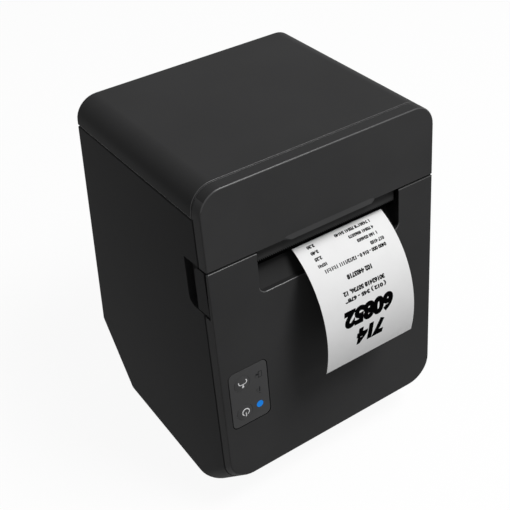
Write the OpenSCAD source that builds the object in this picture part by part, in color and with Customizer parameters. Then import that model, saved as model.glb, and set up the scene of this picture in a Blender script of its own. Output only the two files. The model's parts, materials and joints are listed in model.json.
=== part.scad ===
// Upright receipt printer with a front paper exit.
// The top and upper front swing up and back together, a lever on the left side frees them,
// and a narrow roll drops into the bin behind the feed roller.
// X runs to the right as seen from the front, Y runs to the back, Z runs up from the desk.

/* [Body] */
// Width of the housing
body_w = 140; // [136:1:160]
// Height of the front top edge above the underside of the housing
body_h = 198.5; // [194:0.5:215]
// Depth of the top face, front to back
top_d = 118.7; // [117:0.1:135]
// Angle by which the front leans back
lean = 7.77; // [6.5:0.01:9]
// Angle by which the top falls towards the back
slope = 3.96; // [3:0.01:5]
// Radius of the two long top edges
corner_r = 12.3; // [8:0.1:16]
// Wall of the housing
wall = 2.5; // [2:0.1:3]
// Small chamfer on the outer edges
edge = 0.5; // [0.3:0.1:0.8]
// Chamfer round the back face
back_edge = 1.2; // [0.6:0.1:2]

/* [Chin and heel] */
// Height of the front panel's bottom edge above the underside
chin_h = 23.6; // [18:0.1:30]
// Distance the underside starts behind the panel's bottom edge
chin_d = 19.8; // [15:0.1:24]
// Radius of the panel's bottom corners
panel_r = 14.3; // [10:0.1:18]
// Radius of the underside's front corners
base_r = 14; // [10:0.1:18]
// Height of the slanted heel at the back
heel_h = 34.6; // [32:0.1:45]
// Depth of the slanted heel
heel_d = 29.1; // [26:0.1:32]
// Radius of the corners beside the heel
heel_r = 2; // [1.4:0.1:4]

/* [Seams] */
// Depth of the front band, square to the front
band_d = 7.07; // [6.8:0.01:8]
// Distance of the lid's side seam below the top face
lid_drop = 15.7; // [14:0.1:18]
// Distance of the front seam down the front from its top edge
front_drop = 41.3; // [40:0.1:43]
// Width of every seam
seam = 0.4; // [0.3:0.1:0.6]

/* [Paper exit] */
// Distance from the housing's sides to the exit's, taken as if it were in the middle
exit_in = 25.6; // [25:0.1:26.5]
// Sideways place of the exit's middle
exit_x = 2.4; // [1.5:0.1:2.6]
// Height of the exit, down the front from the front seam
exit_h = 23.8; // [22:0.1:26]
// Radius of the exit's bottom corners
exit_r = 4; // [2:0.1:6]
// Wall of the chute behind the exit
chute_wall = 1.2; // [1:0.1:1.4]
// Depth of the tear bar behind the front
tear_depth = 2.7; // [2.6:0.05:3.2]
// Thickness of the tear bar
tear_t = 0.8; // [0.6:0.1:1]
// Distance of the tear bar's points below the front seam
tear_down = 7.3; // [6.5:0.1:7.5]
// Pitch of the tear bar's teeth
tear_pitch = 1.2; // [1:0.1:2]
// Height of the tear bar's teeth
tear_tooth = 1.3; // [0.8:0.1:1.5]
// Width of the grip lip under the upper front cover
lip_w = 58; // [40:1:64]
// Height of the grip lip's sloped face, measured down the front
lip_h = 2; // [1.8:0.1:2.6]
// How far the grip lip stands out from the front
lip_out = 1.5; // [1:0.1:2]
// Depth of the nose that hides the cutter, behind the front
nose_depth = 5.4; // [5:0.1:5.6]
// Distance of the nose's tip above the point where the paper leaves
nose_clear = 0.6; // [0.5:0.1:2]

/* [Paper] */
// Width of the paper roll
paper_w = 57.5; // [50:0.5:58]
// Play between the paper's right edge and the bin's side
paper_play = 0.5; // [0.3:0.1:2]
// Thickness of the paper
paper_t = 0.15; // [0.1:0.01:0.2]
// Play between the full roll and the bin below it
roll_play = 3.5; // [2.5:0.1:4]
// Outer radius of the roll's cardboard core
core_r = 8.5; // [7:0.1:10]
// Wall of the core
core_wall = 1.5; // [1:0.1:2.5]
// Depth of the point where the paper leaves the mechanism, behind the front
leave_depth = 6.3; // [6:0.1:6.6]
// Distance of that point down the front from its top edge
leave_drop = 53.1; // [52.6:0.1:53.6]
// Slope of the paper inside the printer
path_tilt = 20; // [19:0.1:20.5]
// Length of the receipt that hangs out
receipt_len = 74; // [60:1:90]
// Slope at which the receipt starts to hang
curl_start = 20; // [18:0.1:22]
// Turn of the receipt for each millimetre at its start
curl_rate = 1.34; // [1.2:0.01:1.5]
// Easing of that turn along the receipt
curl_ease = 0.0042; // [0.0035:0.0001:0.005]

/* [Feed] */
// Radius of the rubber feed roller
platen_r = 6; // [5.5:0.1:6.2]
// Radius of the roller's steel shaft
shaft_r = 2.5; // [2:0.1:3]
// Distance the feed roller reaches past the inside of the bin
platen_over = 0.5; // [0:0.1:1]
// Distance of the roller's axis behind the cutter
platen_run = 12; // [11.5:0.1:13]
// Distance along the paper from the cutter to the front of the roll
roll_run = 16.8; // [16.6:0.1:18]
// Module of all the gears
gear_m = 0.8; // [0.75:0.01:0.85]
// Teeth of the feed roller's gear
platen_teeth = 26; // [24:1:27]
// Teeth of the idler gear
idler_teeth = 30; // [28:1:31]
// Teeth of the two motor pinions
pinion_teeth = 12; // [12:1:13]
// Width of the gears
gear_w = 4; // [3:0.1:4.5]
// Radius of the feed motor
motor_r = 17; // [15:0.1:17.3]
// Length of the feed motor
motor_len = 20; // [16:0.5:26]

/* [Mechanism frame] */
// Distance of the side plates' inner faces from the housing's sides
plate_in = 21; // [20.6:0.1:21.2]
// Thickness of the side plates
plate_t = 1.5; // [1:0.1:1.6]
// Distance from the side plates to the inside of the roll bin
bin_in = 8.5; // [8:0.1:8.6]
// Wall of the roll bin
bin_wall = 1.5; // [1.2:0.1:1.5]
// Thickness of the bin's side panels
side_t = 2.5; // [2:0.1:3]

/* [Cutter] */
// Travel of the moving blade
cut_travel = 6; // [5:0.1:6.3]
// Thickness of the moving blade
blade_t = 0.8; // [0.6:0.1:1]
// Distance from the side plates to the ends of the moving blade
blade_in = 6; // [5:0.1:7]
// Half width of the notch that spares the middle of the paper
notch_half = 1.8; // [1.5:0.1:3]
// Radius of the cutter motor
cut_motor_r = 9; // [7:0.1:9.5]

/* [Release lever and latch] */
// Angle the lever turns when it is pulled
lever_turn = 3.5; // [2.5:0.1:3.8]
// Radius of the latch shaft
latch_r = 1.75; // [1.5:0.05:1.8]
// Depth of the finger recess into the side
recess_d = 4; // [3.8:0.1:4.6]
// Height of the finger recess, measured down the front
recess_h = 27.2; // [26:0.1:28]
// Distance of the finger recess's rear edge behind the front
recess_in = 20.2; // [19:0.1:22]
// Distance of the latch hooks inside the shell's side
hook_in = 9.8; // [9:0.1:10.2]
// Radius of the latch bar on the cover
bar_r = 2; // [1.5:0.1:2.2]

/* [Hinge] */
// Radius of the hinge knuckles
knuckle_r = 3.5; // [3:0.1:4]
// Radius of the hinge pins
pin_r = 1.5; // [1.2:0.1:1.8]
// Distance of each hinge from the middle
hinge_x = 45; // [38:0.5:50]
// Length of each cover knuckle
knuckle_l = 7.4; // [6:0.1:10]

/* [Controls] */
// Width of the control panel
panel_w = 23.1; // [22:0.1:24]
// Height of the control panel
panel_h = 35.6; // [34:0.1:38]
// Distance of the control panel's left edge from the housing's side
panel_in = 4.6; // [4:0.1:5]
// Distance of the control panel's top down the front
panel_down = 105.1; // [100:0.1:108]
// Radius of the buttons
button_r = 4.6; // [4:0.1:4.8]
// Radius of the unlit indicator lenses
lens_r = 1.3; // [0.8:0.1:1.6]
// Radius of the blue lens
blue_r = 2; // [1.2:0.1:2.4]

/* [Base and ports] */
// Height of the rubber feet
foot_h = 1.5; // [1:0.1:3]
// Radius of the rubber feet
foot_r = 6; // [5:0.1:8]
// Half width of the port bay
bay_half = 48; // [46:0.5:48.5]
// Height of the port bay above the underside
bay_h = 26.5; // [25:0.1:27.5]
// Distance of the port plate ahead of the underside's rear edge
port_in = 9; // [8.5:0.1:10]
// Thickness of the circuit boards
board_t = 1.6; // [1.2:0.1:1.6]

/* [Clearances] */
// Radial clearance of a turning fit
run_fit = 0.05; // [0.02:0.01:0.1]
// Gap between parts that move past each other
gap = 0.3; // [0.2:0.05:0.4]
// Gap round parts that are set into an opening
slip = 0.15; // [0.1:0.05:0.25]

/* [Hidden] */
$fn = 48;

// Steps in each rounded corner of the housing
arc_steps = 9;
// Thickness of the sheets that the housing is stretched between
sheet = 0.01;
// Longer than anything in the model
big = 600;
half_w = body_w / 2;
plate_x = half_w - plate_in;
bin_half = plate_x - bin_in;
platen_half = bin_half + platen_over;
blade_half = plate_x - blade_in;
exit_half = half_w - exit_in;
paper_right = bin_half - paper_play;

// The receipt's side line, walked in steps from where it leaves the mechanism
curl_steps = 24;
curl_step = receipt_len / curl_steps;
function curl_angle(s) = curl_start + curl_rate * s - curl_ease * s * s;
function curl_move(i) = curl_step * [-cos(curl_angle((i + 0.5) * curl_step)),
                                     -sin(curl_angle((i + 0.5) * curl_step))];
function curl_point(i) = i == 0 ? [0, 0] : curl_point(i - 1) + curl_move(i - 1);
curl = [for (i = [0:curl_steps]) curl_point(i)];
curl_reach = min([for (p = curl) p[0]]);

// The origin lies on the desk, below the middle of everything that stands out
top_z = foot_h + body_h;
chin_z = foot_h + chin_h;
lean_run = (body_h - chin_h) * tan(lean);
leave_ahead = leave_depth * cos(lean) - leave_drop * sin(lean);
hinge_out = gap + knuckle_r;
front_reach = min(-lean_run, leave_ahead + curl_reach);
front_top_y = -(top_d + hinge_out + front_reach) / 2;
back_y = front_top_y + top_d;

// Side outline of the housing as [y, z], from the front top edge round by the back
outline = [
  [front_top_y, top_z],
  [back_y, top_z - top_d * tan(slope)],
  [back_y, foot_h + heel_h],
  [back_y - heel_d, foot_h],
  [front_top_y - lean_run + chin_d, foot_h],
  [front_top_y - lean_run, chin_z]
];
function corner(i) = outline[(i + 6) % 6];
function inward(a, b) = let (d = (b - a) / norm(b - a)) [d[1], -d[0]];
// Corner i with the edge before it moved in by t1 and the edge after it by t2
function moved_corner(i, t1, t2) =
  let (m = inward(corner(i - 1), corner(i)), n = inward(corner(i), corner(i + 1)), k = m * n)
  corner(i) + ((t1 - t2 * k) * m + (t2 - t1 * k) * n) / (1 - k * k);

function arc(c, r, a) = [for (i = [0:arc_steps]) c + r * [cos(a + 90 * i / arc_steps),
                                                          sin(a + 90 * i / arc_steps)]];
// Flat outline with radius ra at its start and rb at its end
function pane(h, l, ra, rb) = concat(
  arc([h - ra, ra], ra, -90), arc([h - rb, l - rb], rb, 0),
  arc([rb - h, l - rb], rb, 90), arc([ra - h, ra], ra, 180)
);

// [y, z] of a point behind the leaning front and down it from the top edge
function face_yz(behind, down) = [
  front_top_y + behind * cos(lean) - down * sin(lean),
  top_z - behind * sin(lean) - down * cos(lean)
];
leave_yz = face_yz(leave_depth, leave_drop);
// Distance of the cutter back along the paper from where the paper leaves
cut_run = 10;
// [y, z] of a point back along the paper from the cutter and up from the paper
function path_yz(back, up) = [
  leave_yz[0] + (cut_run + back) * cos(path_tilt) - up * sin(path_tilt),
  leave_yz[1] + (cut_run + back) * sin(path_tilt) + up * cos(path_tilt)
];
// Height of the plane that lies a distance below the top face
function lid_z(y, drop) = top_z - (y - front_top_y) * tan(slope) - drop / cos(slope);

// The largest roll that fits between the mechanism and the back wall
roll_r = (back_y - wall - slip - bin_wall - roll_play - leave_yz[0]
          - (cut_run + roll_run) * cos(path_tilt) - gap * sin(path_tilt))
         / (1 + cos(path_tilt) + sin(path_tilt));
roll_yz = path_yz(roll_run + roll_r, -(roll_r + gap));
bin_r = roll_r + roll_play;
bin_yz = roll_yz + [0, bin_r - roll_r - gap];
bin_out = bin_r + bin_wall;
platen_at = [platen_run, -(platen_r + gap)];
gear_half = gear_m / 2;
idler_dir = -110;
pinion_dir = -128;
idler_at = platen_at + gear_half * (platen_teeth + idler_teeth) * [cos(idler_dir), sin(idler_dir)];
pinion_at = idler_at + gear_half * (idler_teeth + pinion_teeth) * [cos(pinion_dir), sin(pinion_dir)];
idler_phase = idler_dir + 180 + 180 / idler_teeth;
pinion_phase = phase(pinion_dir, idler_teeth, idler_phase, pinion_teeth);

// The lever's pivot lies at the foot of the recess, just behind the front band
recess_up = front_drop - 0.7;
recess_low = recess_up + recess_h;
latch_yz = [front_top_y, face_yz(0, recess_low)[1] + 3.26];
hinge_yz = [back_y + gap, lid_z(back_y + gap, lid_drop)];
lever_r = 3.5;
tab_t = 2.4;
pocket_wall = 1.5;
hook_t = 2;
hook_x = half_w - hook_in - hook_t;
bar_at = [8, 17];
bar_yz = path_yz(bar_at[0], bar_at[1]);

port_y = back_y - heel_d - port_in;
floor_z = foot_h + wall;
board_z = floor_z + 6;
bay_top = foot_h + bay_h;
panel_x = -half_w + panel_in + panel_w / 2;
panel_mid = panel_down + panel_h / 2;
button_x = -4;
feed_down = 8.5 - panel_h / 2;
power_down = panel_h / 2 - 8.2;
lens_x = panel_w / 2 - 6;
switch_y = 4.6;
switch_h = 3.4;
panel_board_y = switch_y + switch_h;
frame_top = 10.5;
frame_t = 2;
cheek_x = plate_x - 1 - side_t;
head_half = bin_half - 0.7;

// ---- Frames and small helpers ----

// The leaning front: Y into the housing, Z up the front from its top edge
module on_front() {
  translate([0, front_top_y, top_z]) rotate([-lean, 0, 0]) children();
}
// The sloping top: Z up from the top face
module on_top() {
  translate([0, front_top_y, top_z]) rotate([-slope, 0, 0]) children();
}
// The paper's path: Y back along the paper, Z up from it, with the cutter at zero
module on_path() {
  translate([0, path_yz(0, 0)[0], path_yz(0, 0)[1]]) rotate([path_tilt, 0, 0]) children();
}
// An outline drawn as [y, z], from x0 to x1
module across(x0, x1) {
  translate([x0, 0, 0]) rotate([90, 0, 90]) linear_extrude(x1 - x0) children();
}
module rod(r, x0, x1, at = [0, 0]) {
  translate([x0, at[0], at[1]]) rotate([0, 90, 0]) cylinder(r = r, h = x1 - x0);
}
module tube(r, hole, x0, x1, at = [0, 0]) {
  difference() {
    rod(r, x0, x1, at);
    rod(hole, x0 - 1, x1 + 1, at);
  }
}
module box(x, y, z) {
  translate([x[0], y[0], z[0]]) cube([x[1] - x[0], y[1] - y[0], z[1] - z[0]]);
}
module both_sides() {
  children();
  mirror([1, 0, 0]) children();
}

// ---- Housing form ----

module edge_pane(i, face_t, side_t, ra, rb) {
  a = moved_corner(i, side_t, face_t);
  b = moved_corner(i + 1, face_t, side_t);
  translate([0, a[0], a[1]]) rotate([atan2(b[1] - a[1], b[0] - a[0]), 0, 0])
    translate([0, 0, -sheet]) linear_extrude(sheet)
      polygon(pane(half_w - side_t, norm(b - a), ra - side_t, rb - side_t));
}
module chamfered_pane(i, t, c, ra, rb) {
  edge_pane(i, t, t + c, ra + t, rb + t);
  edge_pane(i, t + c, t, ra + t, rb + t);
}
// The whole outer form, drawn in by t
module form(t = 0) {
  far = heel_r + back_edge;
  hull() {
    chamfered_pane(5, t, edge, max(panel_r - t, 3), max(corner_r - t, 3));
    chamfered_pane(1, t, back_edge, max(corner_r - t, 3), far);
    chamfered_pane(3, t, edge, far, max(base_r - t, 3));
  }
}
// Half spaces on the two sides of each seam, with d more taken off
module behind_band(d) {
  on_front() translate([-big / 2, band_d + seam / 2 + d, -big]) cube([big, big, 2 * big]);
}
module before_band(d) {
  on_front() translate([-big / 2, band_d - seam / 2 - d - big, -big]) cube([big, big, 2 * big]);
}
module over_lid_seam(d) {
  on_top() translate([-big / 2, -big, seam / 2 + d - lid_drop]) cube([big, 2 * big, big]);
}
module under_lid_seam(d) {
  on_top() translate([-big / 2, -big, -seam / 2 - d - lid_drop - big]) cube([big, 2 * big, big]);
}
module over_front_seam(d) {
  on_front() translate([-big / 2, -big, seam / 2 + d - front_drop]) cube([big, 2 * big, big]);
}
module under_front_seam(d) {
  on_front() translate([-big / 2, -big, -seam / 2 - d - front_drop - big]) cube([big, 2 * big, big]);
}
module body_block(t, d) {
  intersection() {
    form(t);
    behind_band(d);
    under_lid_seam(d);
  }
}
module lid_block(t, d) {
  intersection() {
    form(t);
    behind_band(d);
    over_lid_seam(d);
  }
}
module upper_block(t, d) {
  intersection() {
    form(t);
    before_band(d);
    over_front_seam(d);
  }
}
module lower_block(t, d) {
  intersection() {
    form(t);
    before_band(d);
    under_front_seam(d);
  }
}

// ---- Gears ----

function involute(a) = tan(a) * 180 / PI - a;
// Half the angle of a tooth at radius r, with a little backlash
function half_tooth(n, r) =
  let (pitch_r = gear_half * n, base = pitch_r * cos(20))
  86 / n + involute(20) - (r > base ? involute(acos(base / r)) : 0);
function flank(n) =
  let (pitch_r = gear_half * n, base = pitch_r * cos(20), tip = pitch_r + 0.85 * gear_m)
  concat([[pitch_r - 1.2 * gear_m, half_tooth(n, base)]],
         [for (i = [0:3]) let (r = base + (tip - base) * i / 3) [r, half_tooth(n, r)]]);
function phase(dir, followed, followed_phase, n) =
  dir + 180 + ((dir - followed_phase) * followed / 360 + 0.5) * 360 / n;
module gear_outline(n, turn) {
  side = flank(n);
  steps = len(side) - 1;
  polygon([for (t = [0:n - 1]) for (k = [0:2 * steps + 1])
    let (up = k <= steps, p = side[up ? k : 2 * steps + 1 - k],
         a = turn + t * 360 / n + (up ? -p[1] : p[1]))
    p[0] * [cos(a), sin(a)]]);
}
// A gear across X from x0 to x1, at a place in the paper path's frame
module gear(n, turn, at, bore, x0, x1) {
  on_path() difference() {
    translate([0, at[0], at[1]]) across(x0, x1) gear_outline(n, turn);
    rod(bore, x0 - 1, x1 + 1, at);
  }
}

// ---- Housing ----

// Outline of the finger recess, square to the front and rounded at its lower rear corner
module recess_outline(grow) {
  r = 5;
  start = -5;
  corner = [for (i = [0:6]) let (a = 90 * i / 6)
    face_yz(recess_in - r + (r + grow) * sin(a), recess_low - r + (r + grow) * cos(a))];
  polygon(concat([face_yz(start, recess_up - grow), face_yz(start, recess_low + grow)], corner,
                 [face_yz(recess_in + grow, recess_up - grow)]));
}
module body_shell() {
  color("#2b2b2c") difference() {
    union() {
      difference() {
        hull() {
          body_block(0, edge);
          body_block(edge, 0);
        }
        form(wall);
        // Opening for the base plate
        box([-plate_half, plate_half], [plate_front, plate_rear], [foot_h - 1, floor_z + 1]);
      }
      // Pocket behind the release lever
      difference() {
        union() {
          pocket_box(wall - half_w + gap, wall + gap);
          pocket_box(wall / 2 - half_w, band_d + seam / 2 + edge);
        }
        across(-half_w - 1, recess_d - half_w) recess_outline(0);
        rod(latch_r + 2 * gap, -half_w, 0, latch_yz);
      }
      bay_walls();
      body_lugs();
    }
    // Mouth of the finger recess
    intersection() {
      across(-half_w - 1, recess_d - half_w) recess_outline(0);
      behind_band(-seam);
    }
    across(-half_w - 1, recess_d - half_w - gap) recess_mouth();
    box([-bay_half, bay_half], [port_y - 1, back_y], [foot_h - 1, bay_top]);
    knuckle_pockets();
    rod(pin_r + 0.01, -half_w, half_w, hinge_yz);
  }
}
// Box round the finger recess, from x0 inwards and from a depth behind the front
module pocket_box(x0, depth) {
  across(x0, pocket_wall - half_w + recess_d) intersection() {
    recess_outline(pocket_wall);
    polygon([face_yz(depth, front_drop + seam + 1), face_yz(depth, front_drop + 60),
             face_yz(60, front_drop + 60), face_yz(60, front_drop - 20),
             face_yz(band_d + seam, front_drop - 20), face_yz(band_d + seam, front_drop + seam + 1)]);
  }
}
module recess_mouth() {
  intersection() {
    recess_outline(0);
    polygon([face_yz(band_d - 1, front_drop - 1), face_yz(60, front_drop - 9),
             face_yz(60, front_drop + 60), face_yz(band_d - 1, front_drop + 60)]);
  }
}
module bay_walls() {
  intersection() {
    form(edge);
    difference() {
      box([-bay_half - wall, bay_half + wall], [port_y, back_y], [foot_h, bay_top + wall]);
      box([-bay_half, bay_half], [port_y - 1, back_y + 1], [foot_h - 1, bay_top]);
    }
  }
}
lug_l = 5;
lug_in = knuckle_l / 2 + gap;
module lug(at) {
  translate([at - lug_l / 2, 0, 0]) {
    rod(knuckle_r, 0, lug_l, hinge_yz);
    across(0, lug_l) polygon([hinge_yz + [knuckle_r, 0], hinge_yz + [-gap - wall / 2, 0],
                              hinge_yz + [-gap - wall / 2, -11], hinge_yz + [-gap, -11]]);
  }
}
module body_lugs() {
  both_sides() {
    lug(hinge_x - lug_in - lug_l / 2);
    lug(hinge_x + lug_in + lug_l / 2);
  }
}
module knuckle_pockets() {
  both_sides() rod(knuckle_r + gap, hinge_x - lug_in, hinge_x + lug_in, hinge_yz);
}
plate_half = 50;
plate_front = corner(4)[0] + 13;
plate_rear = port_y - 5;
plate_lip = 4;
side_foot = [-4, plate_rear - 14];
screw_rows = [plate_front + 8, side_foot[1] - 6];
base_screw_r = 1.25;
module base_plate() {
  color("#232324") difference() {
    union() {
      box([slip - plate_half, plate_half - slip], [plate_front + slip, plate_rear - slip],
          [foot_h, floor_z]);
      box([-plate_half - plate_lip, plate_half + plate_lip], [plate_front - plate_lip, plate_rear],
          [floor_z, floor_z + wall - 1]);
    }
    for (x = [-1, 1], y = screw_rows)
      translate([x * (plate_half - 4), y, foot_h - 1]) cylinder(r = 2.8, h = 2.2);
    for (x = [-1, 1], y = screw_rows)
      translate([x * (plate_half - 4), y, foot_h - 1]) cylinder(r = base_screw_r + 0.05, h = 9);
  }
}
module rubber_feet() {
  color("#1a1a1a") for (x = [-1, 1], y = [plate_front + foot_r, plate_rear - foot_r])
    translate([x * (plate_half - foot_r - 8), y + (y < 0 ? 1 : -1), 0]) cylinder(r = foot_r, h = foot_h);
}
module base_screws() {
  color("silver") for (x = [-1, 1], y = screw_rows)
    translate([x * (plate_half - 4), y, foot_h + 0.1]) difference() {
      union() {
        cylinder(r = 2 * base_screw_r, h = 1.1);
        cylinder(r = base_screw_r, h = 6);
      }
      translate([-1.6, -0.3, -1]) cube([3.2, 0.6, 1.5]);
      translate([-0.3, -1.6, -1]) cube([0.6, 3.2, 1.5]);
    }
}
module exit_outline(grow, top) {
  w = 2 * (exit_half + grow);
  h = exit_h + grow + top;
  translate([exit_x - exit_half - grow, -front_drop - exit_h - grow]) {
    translate([exit_r, exit_r]) circle(exit_r);
    translate([w - exit_r, exit_r]) circle(exit_r);
    translate([exit_r, 0]) square([w - 2 * exit_r, h]);
    translate([0, exit_r]) square([w, h - exit_r]);
  }
}
// A front outline pushed back from depth y0 to depth y1
module through_front(y0, y1) {
  on_front() translate([0, y1, 0]) rotate([90, 0, 0]) linear_extrude(y1 - y0) children();
}
module panel_outline(grow) {
  r = 3;
  translate([panel_x, -panel_mid]) offset_rect(panel_w / 2 + grow, panel_h / 2 + grow, r);
}
module offset_rect(a, b, r) {
  for (x = [-1, 1], y = [-1, 1]) translate([x * (a - r), y * (b - r)]) circle(r);
  square([2 * a, 2 * (b - r)], center = true);
  square([2 * (a - r), 2 * b], center = true);
}
module button_spots(r) {
  for (y = [feed_down, power_down]) translate([panel_x + button_x, -panel_mid - y]) circle(r);
}
module lens_spots(r, rows) {
  for (y = rows) translate([panel_x + lens_x, -panel_mid - y]) circle(r);
}
module lens_holes() {
  lens_spots(blue_r + slip / 2, blue_row);
  lens_spots(lens_r + slip / 2, status_rows);
}
blue_row = [power_down - 0.4];
status_rows = [feed_down - 0.4, (feed_down + power_down) / 2 - 0.2];
module front_panel() {
  color("#303031") difference() {
    union() {
      difference() {
        hull() {
          lower_block(0, edge);
          lower_block(edge, 0);
        }
        form(wall);
      }
      // Posts for the panel's circuit board
      for (x = [-1, 1], y = [-1, 1]) through_front(wall - 0.5, panel_board_y)
        translate([panel_x + x * (panel_w / 2 - 2), -panel_mid + y * (panel_h / 2 + 0.5)]) circle(1.6);
    }
    through_front(-1, band_d) exit_outline(0, 9);
    through_front(-1, 1.2 + slip) panel_outline(slip);
    through_front(-1, wall + 1) button_spots(button_r + slip);
    through_front(-1, wall + 1) lens_holes();
    lever_notch();
  }
}
tab_top = front_drop + seam / 2 + gap;
// Front edge of the lever's tab, as depths behind the front at its top and its foot
tab_front = [3, 2.3];
// Rear edge of the tab at its top and its foot
tab_rear = [11.8, 12.1];
tab_foot = latch_yz[1] - 2.6;
notch_turn = 0.4;
module lever_notch() {
  groove = lever_turn / 180 * PI * (recess_low - front_drop) + notch_turn;
  foot_down = recess_low + 1.15;
  across(-half_w - 1, recess_d - half_w)
    polygon([face_yz(tab_front[0] - groove, front_drop - 2), face_yz(tab_front[1] - notch_turn, foot_down),
             face_yz(band_d + 2, foot_down), face_yz(band_d + 2, front_drop - 2)]);
}
module exit_chute() {
  lip = face_yz(wall + gap / 2, front_drop + exit_h);
  slot = path_yz(-blade_t / 2 - 3.2, -1.8);
  bend = [latch_yz[0] - 0.4, (lip[1] + slot[1]) / 2 - 1.1];
  steps = 10;
  ramp = [for (i = [0:steps]) let (t = i / steps)
    (1 - t) * (1 - t) * lip + 2 * t * (1 - t) * bend + t * t * slot];
  under = [for (i = [steps:-1:0]) ramp[i] + [0.35, -chute_wall - 0.3]];
  top = [path_yz(-blade_t / 2 - 3.2, 2), face_yz(wall + 3, front_drop + 6)];
  color("#262627") {
    across(exit_x - exit_half, exit_x + exit_half) polygon(concat(ramp, under));
    for (x = [exit_x - exit_half - chute_wall, exit_x + exit_half]) across(x, x + chute_wall)
      polygon(concat([face_yz(wall + gap / 2, front_drop + 6)], [lip], [lip + [0.35, -chute_wall - 0.3]],
                     [for (i = [steps - 1:-1:0]) under[i]], [slot], top));
  }
}
module control_panel() {
  color("#454648") difference() {
    through_front(0, 1.2) panel_outline(0);
    through_front(-1, 2) button_spots(button_r + slip);
    through_front(-1, 2) lens_holes();
  }
}
module blue_lens() {
  color("dodgerblue") through_front(0, wall + 1) lens_spots(blue_r, blue_row);
}
module status_lenses() {
  color("#8a8d90") through_front(0, wall + 1) lens_spots(lens_r, status_rows);
}
// A button cap with the flange that keeps it behind the panel
module button(down) {
  on_front() translate([panel_x + button_x, 0, -panel_mid - down]) rotate([-90, 0, 0]) {
    translate([0, 0, -0.4]) cylinder(r = button_r, h = wall + 0.6);
    translate([0, 0, wall + 0.2]) cylinder(r = button_r + 0.9, h = 0.7);
  }
}
module feed_button() {
  color("#4a4b4d") button(feed_down);
}
module power_button() {
  color("#4a4b4d") button(power_down);
}
module panel_board() {
  color("#1f5c3a") {
    through_front(panel_board_y, panel_board_y + board_t)
      translate([panel_x, -panel_mid]) square([panel_w - 2, panel_h + 4], center = true);
    // Push switches under the buttons
    for (y = [feed_down, power_down]) {
      through_front(switch_y + 0.4, panel_board_y)
        translate([panel_x + button_x, -panel_mid - y]) square(6, center = true);
      through_front(switch_y, switch_y + 0.5)
        translate([panel_x + button_x, -panel_mid - y]) circle(1.6);
    }
    // Lamps behind the lenses
    for (y = concat(blue_row, status_rows)) through_front(wall + 1 + gap, panel_board_y)
      translate([panel_x + lens_x, -panel_mid - y]) circle(lens_r);
  }
}

// ---- Boards and ports ----

board_front = plate_front + 6;
board_half = bin_half - 1.5;
port_z = board_z + board_t;
// Each port: [sideways place, half width, height]
dc_place = [5.5 - board_half, 5, 11];
usb_place = [-15, 6.5, 11.5];
lan_place = [8, 8, 13.5];
drawer_place = [board_half - 8, 7.5, 13];
module port_hole(p, grow) {
  box([p[0] - p[1] - grow, p[0] + p[1] + grow], [port_y - 1, port_y + 3], [port_z, port_z + p[2] + grow]);
}
// A port's case with its socket left open to the back
module port_case(p, len, lip) {
  difference() {
    box([p[0] - p[1], p[0] + p[1]], [port_y + 2 - len, port_y + 2], [port_z, port_z + p[2]]);
    box([p[0] - p[1] + lip, p[0] + p[1] - lip], [port_y + 6 - len, port_y + 3],
        [port_z + lip, port_z + p[2] - lip]);
  }
}
module main_board() {
  color("#1f5c3a") {
    box([-board_half, board_half], [board_front, port_y - slip], [board_z, board_z + board_t]);
    for (x = [-1, 1], y = [board_front + 5, port_y - 14])
      translate([x * (board_half - 4), y, floor_z + wall - 1])
        cylinder(r = 2.5, h = board_z - floor_z - wall + 1);
  }
}
module board_parts() {
  color("#161616") {
    // Processor, driver, regulator, motor socket and head socket, then a coil
    box([-9, 6], [board_front + 18, board_front + 33], [port_z, port_z + 1.6]);
    box([8, 18], [board_front + 20, board_front + 28], [port_z, port_z + 1.2]);
    box([5 - board_half, 13 - board_half], [board_front + 11, board_front + 19], [port_z, port_z + 2]);
    box([board_half - 19, board_half - 3], [board_front + 8, board_front + 13], [port_z, port_z + 6]);
    box([-20, 4], [board_front + 4, board_front + 8], [port_z, port_z + 4.5]);
    translate([board_half - 11, board_front + 28, port_z]) cylinder(r = 6, h = 7);
  }
}
module board_capacitors() {
  color("#3b3f8c") for (x = [6, 17])
    translate([x - board_half, port_y - 27.6, port_z]) cylinder(r = 5, h = 16);
}
module port_plate() {
  color("silver") difference() {
    box([slip - bay_half, bay_half - slip], [port_y, port_y + 1], [floor_z + 0.2, bay_top + wall / 2 - 1.5]);
    for (p = [dc_place, usb_place, lan_place, drawer_place]) port_hole(p, slip);
  }
}
module dc_jack() {
  color("#18181a") difference() {
    box([dc_place[0] - dc_place[1], dc_place[0] + dc_place[1]], [port_y - 12, port_y + 2],
      [port_z, port_z + dc_place[2]]);
    translate([dc_place[0], port_y + 3, port_z + 5.5]) rotate([90, 0, 0]) difference() {
      cylinder(r = 3.2, h = 12);
      cylinder(r = 1.05, h = 12);
    }
  }
}
module data_ports() {
  color("#c8cacc") {
    port_case(usb_place, 16, 0.8);
    port_case(lan_place, 21, 1.4);
  }
}
module drawer_port() {
  color("#1c1c1e") port_case(drawer_place, 18, 1.5);
}

// ---- Roll bin and paper ----

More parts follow.
